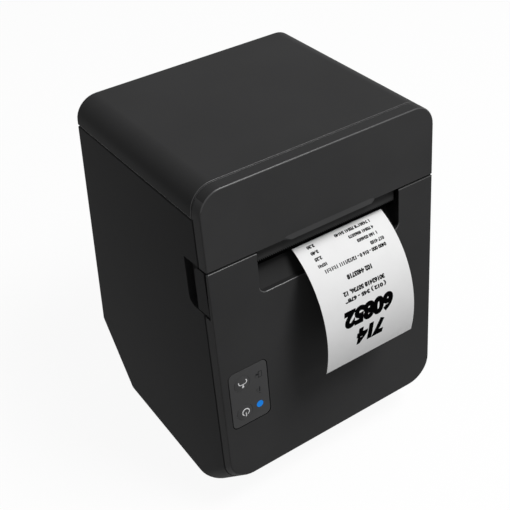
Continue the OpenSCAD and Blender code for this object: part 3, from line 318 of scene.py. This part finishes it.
sheet_zinc = metal("sheet_zinc", (0.56, 0.57, 0.58), 0.34, (1, 1, 0.05), 0.5)
shaft_steel = metal("shaft_steel", (0.62, 0.62, 0.63), 0.24, (1, 0.03, 0.03), 0.12, spangle=0.03)
blade_steel = metal("blade_steel", (0.60, 0.61, 0.62), 0.28, (0.05, 1, 1), 0.25, spangle=0.03)
fin_aluminium = metal("fin_aluminium", (0.76, 0.77, 0.78), 0.32, (0.04, 1, 1), 0.4, spangle=0.03)
bush_bronze = metal("bush_bronze", (0.62, 0.40, 0.17), 0.42, (1, 1, 1), 0.2, spangle=0.15)
cut_brass = metal("cut_brass", (0.74, 0.53, 0.22), 0.27, (1, 0.05, 0.05), 0.15, spangle=0.04)
motor_can = metal("motor_can", (0.42, 0.43, 0.44), 0.36, (1, 0.1, 0.1), 0.5, spangle=0.06)
socket_tin = metal("socket_tin", (0.66, 0.67, 0.68), 0.26, (1, 0.06, 1), 0.3, spangle=0.05)
screw_zinc = metal("screw_zinc", (0.60, 0.61, 0.60), 0.30, (1, 1, 1), 0.3, spangle=0.1)
print("materials so far", len(bpy.data.materials))

# %% [markdown]
# Paper is nearly matt and a touch warm or cool from sheet to sheet. Its fibres give a very fine
# unevenness. A roll's two ends show the edges of hundreds of turns, which read as thin rings.

# %% Paper, card and rubber
def paper(name, colour):
    finish = Finish(name)
    fibre = finish.noise(0.25 * mm, 3, rough=0.7)
    cloud = finish.noise(9 * mm, 2)
    tone = finish.blend(finish.spread(cloud, 0.3, 0.7), tuple(c * 0.975 for c in colour), colour)
    return finish.surface(Base_Color=tone, Roughness=0.62 + 0.1 * fibre, Specular_IOR_Level=0.3,
                          Normal=finish.bump(fibre, 0.004 * mm))


# The axis runs along X, and roll_y and roll_z say where
roll_y, roll_z = 28.5868, 132.7101


def wound(name, colour, pitch):
    finish = Finish(name)
    x, y, z = parts(finish.place(shift=(0, -roll_y * mm, -roll_z * mm)))
    radius = (y * y + z * z) ** 0.5
    outwards = finish.node("ShaderNodeCombineXYZ", {}, {"X": radius})["Vector"]
    rings = finish.noise(pitch * mm, 2, outwards)
    fibre = finish.noise(0.4 * mm, 2)
    tone = finish.blend(finish.spread(rings, 0.3, 0.7), tuple(c * 0.86 for c in colour), colour)
    return finish.surface(Base_Color=tone, Roughness=0.66 + 0.08 * fibre, Specular_IOR_Level=0.25,
                          Normal=finish.bump(rings, 0.03 * mm))


receipt_paper = paper("receipt_paper", (0.82, 0.82, 0.82))
roll_paper = wound("roll_paper", (0.83, 0.83, 0.81), 0.35)
core_card = wound("core_card", (0.42, 0.29, 0.17), 0.5)
ink_black = plastic("ink_black", (0.0015, 0.0015, 0.0017), 0.8, 0.2, 0.002, level=0.0)
foot_rubber = plastic("foot_rubber", (0.013, 0.013, 0.013), 0.78, 0.5, 0.02, level=0.2)
roller_rubber = plastic("roller_rubber", (0.016, 0.016, 0.016), 0.66, 0.25, 0.01)
print("materials so far", len(bpy.data.materials))

# %% [markdown]
# The circuit boards are green lacquer over copper. A brick pattern gives the tracks, which show
# through the lacquer in blocks that run along the board, and its mortar is the gap between them.
# Solder pads are small bright rings, one round the middle of each cell of a loose grid.

# %% Circuit board and the parts on it
def circuit(name):
    finish = Finish(name)
    at = finish.place()
    tracks = finish.node("ShaderNodeTexBrick", {"offset": 0.37, "offset_frequency": 3},
                         {"Vector": at, "Scale": 1.0, "Brick Width": 11 * mm,
                          "Row Height": 1.3 * mm, "Mortar Size": 0.35 * mm})["Fac"]
    vias = finish.node("ShaderNodeTexVoronoi", {"feature": "F1"},
                       {"Vector": at, "Scale": 1 / (3.2 * mm), "Randomness": 0.6})["Distance"]
    pad = (vias < 0.13) * (vias > 0.05)
    lacquer = finish.blend(tracks, (0.018, 0.105, 0.050), (0.010, 0.068, 0.034))
    tone = finish.blend(pad, lacquer, (0.62, 0.60, 0.52))
    return finish.surface(Base_Color=tone, Roughness=0.30 + 0.12 * tracks, Metallic=pad,
                          Specular_IOR_Level=0.45, Normal=finish.bump(1 - tracks, 0.03 * mm))


board_green = circuit("board_green")
sleeve_blue = plastic("sleeve_blue", (0.030, 0.036, 0.16), rough=0.28, grain=0.8, level=0.5)
head_glaze = plastic("head_glaze", (0.11, 0.09, 0.07), 0.16, 0.6, 0.003, level=0.6)
lens_grey = plastic("lens_grey", (0.063, 0.063, 0.064), rough=0.36, grain=0.2, depth=0.003)


def lit(name, colour, strength):
    finish = Finish(name)
    slow = finish.noise(1.2 * mm, 2)
    tone = finish.blend(slow, colour, tuple(min(1, c * 1.15) for c in colour))
    return finish.surface(Base_Color=tone, Roughness=0.35, Specular_IOR_Level=0.1,
                          Emission_Color=tone, Emission_Strength=strength)


lamp_blue = lit("lamp_blue", (0.003, 0.115, 0.40), 0.85)
print("materials so far", len(bpy.data.materials))

# %% [markdown]
# The front leans back, so a place on it is given as a distance along it, a distance down it from
# its top edge and a height off it. Finishes, keys and signs all use this.

# %% Places on the leaning front
front_top = Vector((0, -44.4653, 200))
lean = math.radians(7.77)
front_up = Vector((0, math.sin(lean), math.cos(lean)))
front_out = Vector((0, -math.cos(lean), math.sin(lean)))


# Point x along the front and a distance down it from the top edge, standing out by some height
def front_point(x, down, out=0.0):
    return (front_top + Vector((x, 0, 0)) - down * front_up + out * front_out) * mm


# The reverse: how far along, down and out a point lies, in millimetres
def front_place(point):
    away = point / mm - front_top
    return point.x / mm, -away.dot(front_up), away.dot(front_out)


print("top edge of the front in mm", [round(v / mm, 1) for v in front_point(0, 0)])

# %% [markdown]
# Three finishes follow the place on the front. The tear bar and the chute are painted darker
# towards the top, a painted shade for where they sit deep under the cover: the tear bar is painted
# dark where it enters the cover, and the chute is painted black at its slot. The edge below the
# seam is painted lighter along its rim, a painted highlight, and near black further in, a painted
# shadow in the seam.

# %% Finishes that follow the place on the front
def front_parts(finish):
    top = front_top * mm
    x, y, z = parts(finish.place(shift=tuple(-top)))
    down = (y * math.sin(lean) + z * math.cos(lean)) * (-1 / mm)
    out = (z * math.sin(lean) - y * math.cos(lean)) * (1 / mm)
    return down, out


# From dark at low to light at high, both in millimetres down the front or out of it. The roughness
# can go from dark_rough to rough in the same way
def graded(name, dark, light, where, low, high, rough, level, dark_rough=None):
    finish = Finish(name)
    down, out = front_parts(finish)
    share = finish.spread(down if where == "down" else out, low, high)
    fine = finish.noise(0.35 * mm, 2, rough=0.6)
    tone = finish.blend(share, (dark, dark, dark * 1.01), (light, light, light * 1.01))
    dark_rough = dark_rough or rough
    shine = dark_rough + share * (rough - dark_rough) + 0.05 * (fine - 0.5)
    return finish.surface(Base_Color=tone, Roughness=shine, Specular_IOR_Level=level,
                          Normal=finish.bump(fine, 0.006 * mm))


# The tear bar and chute finishes are painted shade, and the seam edge has a painted highlight and
# painted shade.
tear_painted_shade = graded("tear_painted_shade", 0.011, 0.031, "down", 44.3, 46.6, 0.6, 0.1)
chute_painted_shade = graded("chute_painted_shade", 0.002, 0.022, "down", 51.5, 58.5, 0.6, 0.05)
seam_painted_highlight_and_shade = graded("seam_painted_highlight_and_shade", 0.002, 0.055, "out", -0.26, -0.18, 0.30, 0.26, dark_rough=0.8)
print("materials in all", len(bpy.data.materials))

# %% [markdown]
# ## Dressing the solids
# Most inner parts keep their solid and only get a finish. One table says which finish goes on which
# part, so nothing is left in plain grey.

# %% Finishes for the solids
# The shell blacks, the tear bar and the exit chute carry painted light and shade.
finish_of = {
    "top_cover": cover_black, "upper_front_cover": upper_black, "body_shell": housing_black,
    "front_panel": front_black, "release_lever": lever_black, "base_plate": inner_black,
    "exit_chute": chute_painted_shade, "roll_bin": inner_black, "width_guide": inner_black,
    "paper_guide": inner_black, "cover_frame": inner_black, "blade_guides": inner_black,
    "blade_carrier": inner_black, "control_panel": panel_grey, "feed_button": key_grey,
    "power_button": key_grey, "blue_lens": lamp_blue, "status_lenses": lens_grey,
    "rubber_feet": foot_rubber, "platen_roller": roller_rubber, "base_screws": screw_zinc,
    "mech_screws": screw_zinc, "mech_plate_left": sheet_zinc, "mech_plate_right": sheet_zinc,
    "mech_bridge": sheet_zinc, "head_bracket": sheet_zinc, "port_plate": sheet_zinc,
    "latch_hooks": sheet_zinc, "platen_shaft": shaft_steel, "latch_shaft": shaft_steel,
    "latch_bar": shaft_steel, "hinge_pins": shaft_steel, "lever_spring": shaft_steel,
    "head_springs": shaft_steel, "moving_blade": blade_steel, "fixed_blade": blade_steel,
    "tear_bar": tear_painted_shade, "head_heatsink": fin_aluminium, "thermal_head": head_glaze,
    "platen_bearings": bush_bronze, "motor_pinion": cut_brass, "cutter_pinion": cut_brass,
    "platen_gear": gear_ivory, "idler_gear": gear_ivory, "feed_motor": motor_can,
    "cutter_motor": motor_can, "main_board": board_green, "panel_board": board_green,
    "board_parts": case_black, "paper_sensor": case_black, "cover_switch": case_black,
    "near_end_sensor": case_black, "dc_jack": case_black, "drawer_port": case_black,
    "board_capacitors": sleeve_blue, "data_ports": socket_tin, "paper_roll": roll_paper,
    "paper_web": receipt_paper, "receipt": receipt_paper, "roll_core": core_card,
}
held_by = frame["record"]["behaviour"]["bodies"]
body_of = {node: body for body, held in held_by.items() for node in held}
for name, solid in nodes.items():
    for place in solid.material_slots:
        place.material = finish_of[name]
print("dressed", len(nodes), "solids; left over:", sorted(set(nodes) - set(finish_of)))

# %% [markdown]
# The outer shells need more. A moulded shell has softly rounded edges that catch the light as thin
# bright lines, and its big corners are smooth, while a solid arrives as flat triangles. Each shell
# is copied, its loose triangles are joined, and a narrow bevel goes on every sharp edge. Some edges
# get a finish that shines more and is painted lighter, a painted highlight, and faces that lie in
# shade get painted shade.

# %% Tools for working on one piece
def alone(piece):
    if bpy.context.object and bpy.context.object.mode != "OBJECT":
        bpy.ops.object.mode_set(mode="OBJECT")
    bpy.ops.object.select_all(action="DESELECT")
    piece.select_set(True)
    bpy.context.view_layer.objects.active = piece


def edit_all(piece):
    alone(piece)
    bpy.ops.object.mode_set(mode="EDIT")
    bpy.ops.mesh.select_all(action="SELECT")


def apply_all(piece):
    alone(piece)
    for modifier in list(piece.modifiers):
        bpy.ops.object.modifier_apply(modifier=modifier.name)


def settle(piece):
    alone(piece)
    bpy.ops.object.transform_apply(location=True, rotation=True, scale=True)


def thicken(piece, thick):
    wall = piece.modifiers.new("thickness", "SOLIDIFY")
    wall.thickness = thick * mm
    wall.offset = 0
    apply_all(piece)


# Faces that meet at less than the angle, in degrees, are shaded as one
def finish_piece(piece, name, body, material, angle=40):
    alone(piece)
    bpy.ops.object.shade_smooth_by_angle(angle=math.radians(angle))
    piece.name = name
    piece.data.name = name
    if material:
        piece.data.materials.clear()
        piece.data.materials.append(material)
    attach(piece, body)


# %% Joining, rounding and painting a copy
weld = 0.002 * mm
flat_angle = math.radians(0.3)


def joined_copy(node):
    piece = bpy.data.objects.new(node + "_skin", nodes[node].data.copy())
    bpy.context.scene.collection.objects.link(piece)
    alone(piece)
    if piece.data.has_custom_normals:
        bpy.ops.mesh.customdata_custom_splitnormals_clear()
    edit_all(piece)
    bpy.ops.mesh.remove_doubles(threshold=weld)
    bpy.ops.mesh.dissolve_limited(angle_limit=flat_angle)
    bpy.ops.object.mode_set(mode="OBJECT")
    piece.data.materials.clear()
    piece.data.materials.append(finish_of[node])
    return piece


def slot_number(piece, material):
    if piece.data.materials.find(material.name) < 0:
        piece.data.materials.append(material)
    return piece.data.materials.find(material.name)


# Rounds the edges that a test picks by the places of their two ends
def round_edges(piece, test, width, material, steps):
    alone(piece)
    bpy.ops.object.mode_set(mode="EDIT")
    bpy.ops.mesh.select_all(action="DESELECT")
    bpy.ops.object.mode_set(mode="OBJECT")
    picked = 0
    for edge in piece.data.edges:
        ends = [front_place(piece.data.vertices[v].co) for v in edge.vertices]
        edge.select = all(test(*end) for end in ends)
        picked += edge.select
    bpy.ops.object.mode_set(mode="EDIT")
    bpy.ops.mesh.select_mode(type="EDGE")
    bpy.ops.mesh.bevel(offset=width * mm, segments=steps, affect="EDGES",
                       material=slot_number(piece, material), clamp_overlap=True)
    bpy.ops.object.mode_set(mode="OBJECT")
    print(piece.name, "edges rounded", picked)


# Gives another finish to the faces that a test picks by the place of the middle and by how far
# the face looks up
def paint(piece, test, material):
    number = slot_number(piece, material)
    picked = 0
    for face in piece.data.polygons:
        if test(*front_place(face.center), face.normal.z):
            face.material_index = number
            picked += 1
    print(piece.name, "faces painted", picked)


# %% A soft-edged copy
bevel_steps = 2
bevel_from = math.radians(28)
shell_angle = 30


def soft_copy(node, width, rounds=(), paints=(), edge_finish=None):
    piece = joined_copy(node)
    for test, material in paints:
        paint(piece, test, material)
    for test, wide, material, steps in rounds:
        round_edges(piece, test, wide, material, steps)
    bevel = piece.modifiers.new("edge", "BEVEL")
    bevel.width = width * mm
    bevel.segments = bevel_steps
    bevel.limit_method = "ANGLE"
    bevel.angle_limit = bevel_from
    if edge_finish:
        bevel.material = slot_number(piece, edge_finish)
    apply_all(piece)
    finish_piece(piece, node + "_skin", body_of[node], None, shell_angle)
    even = piece.modifiers.new("even", "WEIGHTED_NORMAL")
    even.keep_sharp = True
    even.weight = 90
    apply_all(piece)
    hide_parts(node)
    print(piece.name, "faces", len(piece.data.polygons))


# %% [markdown]
# Each test below picks edges or faces by their place on the front, in millimetres along, down and
# out of it. The front's outline has a small chamfer, and a band runs back from it. `up` is how far
# a face looks up: 1 straight up, 0 level and -1 straight down.

# %% Which edges and faces are meant
flush = 0.02
chamfer_out = (-0.49, -0.01)
band_out = (-7.1, -0.49)
wall_out, inner_out = -0.5, -1.7
left_from = -60
aslant, mostly_up = 0.3, 0.7
seam_down, upper_down = (38, 43), 44
lip_x, lip_down = (-42.1, 46.9), (45, 65.3)
exit_x, exit_down = (-42.6, 47.4), (41, 66)
panel_x, panel_down = (-66.2, -41.5), (104.3, 141.5)
cover_x, cover_down = (-46.5, 46.5), 25


def within(value, limits):
    return limits[0] < value < limits[1]


# The lip of the paper exit is the most rounded edge of the front
def exit_lip(x, down, out):
    return abs(out) < flush and within(down, lip_down) and within(x, lip_x)


# The rim round the panel's opening gets a narrow chamfer with painted shade, a near-black colour
def panel_rim(x, down, out):
    return abs(out) < flush and within(x, panel_x) and within(down, panel_down)


# The chamfer gets a painted highlight where it looks up, and painted shade where it looks down
# at the seam
def chamfer_up(x, down, out, up):
    return within(out, chamfer_out) and up > aslant and down < upper_down


def chamfer_down(x, down, out, up):
    return within(out, chamfer_out) and up < -aslant and within(down, seam_down)


# The left edge of the front and the band beside it stand away from the lamps, so they get painted
# light: a lighter colour of the same plastic
def chamfer_left(x, down, out, up):
    return within(out, chamfer_out) and x < left_from and abs(up) < aslant


def band_left(x, down, out, up):
    return within(out, band_out) and x < left_from and up < mostly_up


# Faces of the band that look up get the top cover's colour, painted darker for the light it gets
def band_top(x, down, out, up):
    return within(out, band_out) and up > mostly_up


# The walls of the paper exit, behind its rounded lip, which get painted shade
def exit_room(x, down, out, up):
    return out < wall_out and within(x, exit_x) and within(down, exit_down)


# Faces deep inside the cover, which get painted shade
def inside_cover(x, down, out, up):
    return out < inner_out and within(x, cover_x) and down > cover_down


# %% The soft-edged shells
# Painted light on the shells: the lighter edge colours are painted highlights, the lighter left
# edge and band are painted light, and the near-black faces in the seams, the paper exit and inside
# the cover are painted shade.
soft_copy("top_cover", 0.24, edge_finish=cover_edge_painted_highlight)
soft_copy("upper_front_cover", 0.18, paints=[(band_top, cover_black), (band_left, side_painted_light),
                                             (chamfer_left, side_painted_light), (chamfer_up, front_edge_painted_highlight),
                                             (chamfer_down, gap_painted_shade), (inside_cover, gap_painted_shade)])
soft_copy("body_shell", 0.3)
soft_copy("front_panel", 0.2, [(exit_lip, 0.42, lip_edge_painted_highlight, 3), (panel_rim, 0.3, gap_painted_shade, 1)],
          [(exit_room, chute_painted_shade), (chamfer_left, side_painted_light), (chamfer_up, seam_painted_highlight_and_shade)])
soft_copy("control_panel", 0.12)
soft_copy("release_lever", 0.35)
soft_copy("exit_chute", 0.2)

# %% [markdown]
# ## Keys
# Each key is a shallow dome that stands barely proud of the panel. It is turned like a part on a
# lathe: a small disc is extruded ring by ring along the key's axis, and each new ring is scaled to
# the radius that the profile asks for.

# %% Turning a piece
ring_steps = 64


def turned(profile, centre, out):
    turn = out.to_track_quat("Z", "Y").to_euler()
    radius, height = profile[0]
    bpy.ops.object.select_all(action="DESELECT")
    bpy.ops.mesh.primitive_circle_add(vertices=ring_steps, radius=radius * mm, fill_type="NGON",
                                      location=centre + out * height * mm, rotation=turn)
    piece = bpy.context.object
    settle(piece)
    bpy.ops.object.mode_set(mode="EDIT")
    bpy.ops.mesh.select_all(action="SELECT")
    for next_radius, next_height in profile[1:]:
        step = out * (next_height - height) * mm
        bpy.ops.mesh.extrude_region_move(TRANSFORM_OT_translate={"value": step})
        factor = next_radius / radius
        bpy.ops.transform.resize(value=(factor, factor, factor),
                                 center_override=centre + out * next_height * mm)
        radius, height = next_radius, next_height
    bpy.ops.mesh.select_all(action="SELECT")
    bpy.ops.mesh.normals_make_consistent(inside=False)
    bpy.ops.object.mode_set(mode="OBJECT")
    return piece


# %% Feed key and power key
key_radius = 4.68
dome_rise, dome_power = 0.42, 1.4
key_x = -57.85
key_downs = {"feed_button": 113.6, "power_button": 132.5}


# Height of a dome at a share of its radius
def dome_height(rise, share):
    return rise * (1 - share * share) ** dome_power


# Each ring of a profile is a radius and a height, from the foot up
dome_rings = [(key_radius * share, dome_height(dome_rise, share)) for share in
              (0.985, 0.95, 0.88, 0.78, 0.66, 0.52, 0.36, 0.2, 0.06)]
key_profile = [(2.0, -3.2), (5.3, -3.2), (5.5, -3.0), (5.5, -2.75), (4.6, -2.7),
               (4.6, -0.35), (key_radius, -0.12)] + dome_rings
for node, down in key_downs.items():
    key = turned(key_profile, front_point(key_x, down), front_out)
    finish_piece(key, node + "_dome", body_of[node], key_grey)
    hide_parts(node)
    print(key.name, "faces", len(key.data.polygons))

# %% [markdown]
# ## Symbols on the keys
# The keys carry two pale raised signs: a tray with a dot for paper feed, and a broken ring with a
# bar for power, both turned over because the panel can be read from above. A curve with a round
# section draws each stroke. It is made a mesh, pressed flat, and then moved up on to the dome.

# %% Strokes
def stroke(points, width):
    curve = bpy.data.curves.new("stroke", "CURVE")
    curve.dimensions = "3D"
    curve.bevel_depth = width / 2 * mm
    curve.bevel_resolution = 3
    curve.use_fill_caps = True
    line = curve.splines.new("POLY")
    line.points.add(len(points) - 1)
    for point, (x, up) in zip(line.points, points):
        point.co = (x * mm, up * mm, 0, 1)
    made = bpy.data.objects.new("stroke", curve)
    bpy.context.scene.collection.objects.link(made)
    alone(made)
    bpy.ops.object.convert(target="MESH")
    return bpy.context.object


def arc_points(x, up, radius, start, end, steps):
    turns = [math.radians(start + (end - start) * i / steps) for i in range(steps + 1)]
    return [(x + radius * math.cos(a), up + radius * math.sin(a)) for a in turns]


def joined(pieces, name):
    alone(pieces[0])
    for piece in pieces[1:]:
        piece.select_set(True)
    bpy.ops.object.join()
    bpy.context.object.name = name
    return bpy.context.object


# Presses a drawing on to the panel round a given point, over a dome that rises so far there. Half
# of its thickness stands out, and it floats a little so that no faces coincide
float_height = 0.01


def press_on(piece, x_middle, down, rise, thick):
    settle(piece)
    tallest = max(v.co.z for v in piece.data.vertices)
    for vertex in piece.data.vertices:
        x, up, out = vertex.co / mm
        share = min(1, math.hypot(x, up) / key_radius)
        height = dome_height(rise, share) + thick * (out * mm / tallest) * 0.5
        vertex.co = front_point(x_middle + x, down - up, height + float_height)


feed_sign = joined([
    stroke([(-2.1, 1.9), (-2.12, 1.2), (-1.95, 0.5), (-1.55, 0.0), (-1.0, -0.15), (0.3, -0.15),
            (1.6, -0.1), (2.3, 0.05), (2.75, 0.5), (2.85, 1.1), (2.7, 1.7), (2.4, 2.15)], 0.52),
    stroke([(0.32, -0.15), (0.32, -1.3)], 0.5),
    stroke(arc_points(0.31, -1.75, 0.38, 0, 360, 16), 0.76)], "feed_sign")
power_sign = joined([
    stroke(arc_points(0.45, 0.1, 2.08, -60, 236, 40), 0.6),
    stroke([(0.45, -0.2), (0.5, -2.75)], 0.76)], "power_sign")
for sign, node in ((feed_sign, "feed_button"), (power_sign, "power_button")):
    press_on(sign, key_x, key_downs[node], dome_rise, 0.07)
    finish_piece(sign, sign.name, body_of[node], symbol_white)
    print(sign.name, "faces", len(sign.data.polygons))

# %% [markdown]
# Two lamps are off, so their signs look dark: an empty roll of paper, and a bar with a dot under it
# for a fault. They are printed on the panel round the two small lenses.

# %% Dark signs of the two lamps that are off
paper_mark = joined([
    stroke([(-0.1, 2.1), (1.8, 1.8), (1.8, -1.6), (-0.2, -1.7), (-0.1, 2.1)], 0.5),
    stroke([(-1.9, 0.9), (-0.3, 0.3)], 1.0)], "paper_mark")
fault_mark = joined([
    stroke([(0.1, 2.0), (-0.02, -1.0)], 0.7),
    stroke([(-0.06, -1.9), (-0.1, -2.3)], 0.85)], "fault_mark")
for mark, x, down in ((paper_mark, -47.5, 113.0), (fault_mark, -47.75, 122.7)):
    press_on(mark, x, down, 0, 0.03)
    finish_piece(mark, mark.name, body_of["control_panel"], mark_dark)
    print(mark.name, "faces", len(mark.data.polygons))

# %% [markdown]
# ## The receipt
# Thermal paper leaves the slot flat and then hangs in a curve that bends most near the slot,
# because it still remembers the roll. The sheet is a fine grid. Every vertex is carried along that
# curve, and a Solidify modifier gives the paper its thickness. Lengths along the paper start where
# it leaves the mechanism, and what lies before that point is straight.

# %% The curve that the paper follows
leave_y, leave_z = -45.4018, 146.5360
curl_start, curl_rate, curl_ease = 20, 1.34, 0.0042
curl_step, curl_steps = 0.25, 400


def slope(s):
    return math.radians(curl_start + curl_rate * s - curl_ease * s * s)


curl_table = [(leave_y, leave_z)]
for i in range(curl_steps):
    turn = slope((i + 0.5) * curl_step)
    y, z = curl_table[-1]
    curl_table.append((y - curl_step * math.cos(turn), z - curl_step * math.sin(turn)))
print("curve worked out for", curl_step * curl_steps, "mm of paper")


# Point of the paper x to the right and s along it, and a height off its face
def on_paper(x, s, height=0.0):
    turn = slope(max(s, 0))
    if s < 0:
        y, z = leave_y - s * math.cos(turn), leave_z - s * math.sin(turn)
    else:
        i = min(int(s / curl_step), len(curl_table) - 2)
        f = s / curl_step - i
        y = curl_table[i][0] * (1 - f) + curl_table[i + 1][0] * f
        z = curl_table[i][1] * (1 - f) + curl_table[i + 1][1] * f
    return Vector((x, y - height * math.sin(turn), z + height * math.cos(turn))) * mm


# %% The sheet
def paper_strip(left, right, start, end, across, along):
    bpy.ops.object.select_all(action="DESELECT")
    bpy.ops.mesh.primitive_grid_add(x_subdivisions=across, y_subdivisions=along, size=1)
    piece = bpy.context.object
    for vertex in piece.data.vertices:
        x = left + (vertex.co.x + 0.5) * (right - left)
        s = start + (vertex.co.y + 0.5) * (end - start)
        vertex.co = on_paper(x, s)
    return piece


# The cutter spares a narrow bridge in the middle, by which the receipt hangs on to the web
sheet_left, sheet_right, sheet_start, sheet_end = -17.5, 40.0, -9.3, 74.0
bridge_half, bridge_start, bridge_end = 1.5, -10.7, -9.25
sheet_thick = 0.15
sheet = joined([paper_strip(sheet_left, sheet_right, sheet_start, sheet_end, 6, 120),
                paper_strip(-bridge_half, bridge_half, bridge_start, bridge_end, 1, 2)],
               "receipt_sheet")
edit_all(sheet)
bpy.ops.mesh.normals_make_consistent(inside=False)
bpy.ops.object.mode_set(mode="OBJECT")
thicken(sheet, sheet_thick)
finish_piece(sheet, "receipt_sheet", body_of["receipt"], receipt_paper)
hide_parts("receipt")
print("receipt length", round(sheet_end, 1), "mm, faces", len(sheet.data.polygons))

# %% [markdown]
# ## The print
# A receipt reads from its free end, so to someone in front of the printer the print is upside down.
# All the wording is plain numbers. Each line is a text object turned into a mesh, squeezed to its
# place, cut into narrow bands so that it can bend, and laid on the paper like the sheet itself.

# %% Laying a line of print
ink_height, ink_thick = 0.09, 0.02


# A line fills the room from left to right across the paper and from low to high along it. It
# starts at the right, because it stands upside down
def printed(text, left, right, low, high, bold=0.065, slant=0.0):
    bpy.ops.object.select_all(action="DESELECT")
    bpy.ops.object.text_add()
    words = bpy.context.object
    words.data.body = text
    words.data.offset = bold
    words.data.shear = slant
    words.data.resolution_u = 4
    bpy.ops.object.convert(target="MESH")
    words = bpy.context.object
    spots = [v.co for v in words.data.vertices]
    x0, x1 = min(p.x for p in spots), max(p.x for p in spots)
    y0, y1 = min(p.y for p in spots), max(p.y for p in spots)
    for vertex in words.data.vertices:
        vertex.co = ((vertex.co.x - x0) / (x1 - x0) * (right - left),
                     low + (vertex.co.y - y0) / (y1 - y0) * (high - low), 0)
    bpy.ops.object.mode_set(mode="EDIT")
    for band in range(int(low) + 1, int(high) + 1):
        bpy.ops.mesh.select_all(action="SELECT")
        bpy.ops.mesh.bisect(plane_co=(0, band, 0), plane_no=(0, 1, 0))
    bpy.ops.object.mode_set(mode="OBJECT")
    for vertex in words.data.vertices:
        vertex.co = on_paper(right - vertex.co.x, vertex.co.y, ink_height)
    return words


# %% Lines of print
lines = [printed("714", 0.9, 19.6, 53.4, 63.4, 0.08, 0.2),
         printed("60852", -5.8, 26.5, 41.0, 51.0, 0.072, 0.2),
         printed("( 012 ) 345 - 6789", -3.0, 23.7, 34.3, 37.1),
         printed("30162418 50736, 12", -2.8, 23.9, 30.4, 33.4),
         printed("102 4403718", 2.5, 18.4, 23.3, 26.0),
         printed("0400 000 - 016 0 - 12/12/1111 11:11:11", -7.7, 31.7, 16.5, 18.6),
         printed("017 4103", 23.3, 32.2, 13.1, 15.1),
         printed("10741", -10.0, -4.7, 13.0, 14.8),
         printed("1 160 024603", 17.0, 29.9, 9.4, 11.3),
         printed("2.25", -10.0, -5.6, 9.2, 11.1),
         printed("4 70541 8065573", 13.7, 29.9, 5.8, 7.7),
         printed("3.40", -10.2, -5.5, 5.6, 7.5),
         printed("1 7430198 70541 54140", 7.0, 29.9, 2.1, 4.0),
         printed("3.30", -10.3, -5.7, 1.9, 3.8)]
ink = joined(lines, "receipt_print")
edit_all(ink)
bpy.ops.mesh.remove_doubles(threshold=weld)
bpy.ops.object.mode_set(mode="OBJECT")
thicken(ink, ink_thick)
finish_piece(ink, "receipt_print", body_of["receipt"], ink_black)
print("print faces", len(ink.data.polygons))
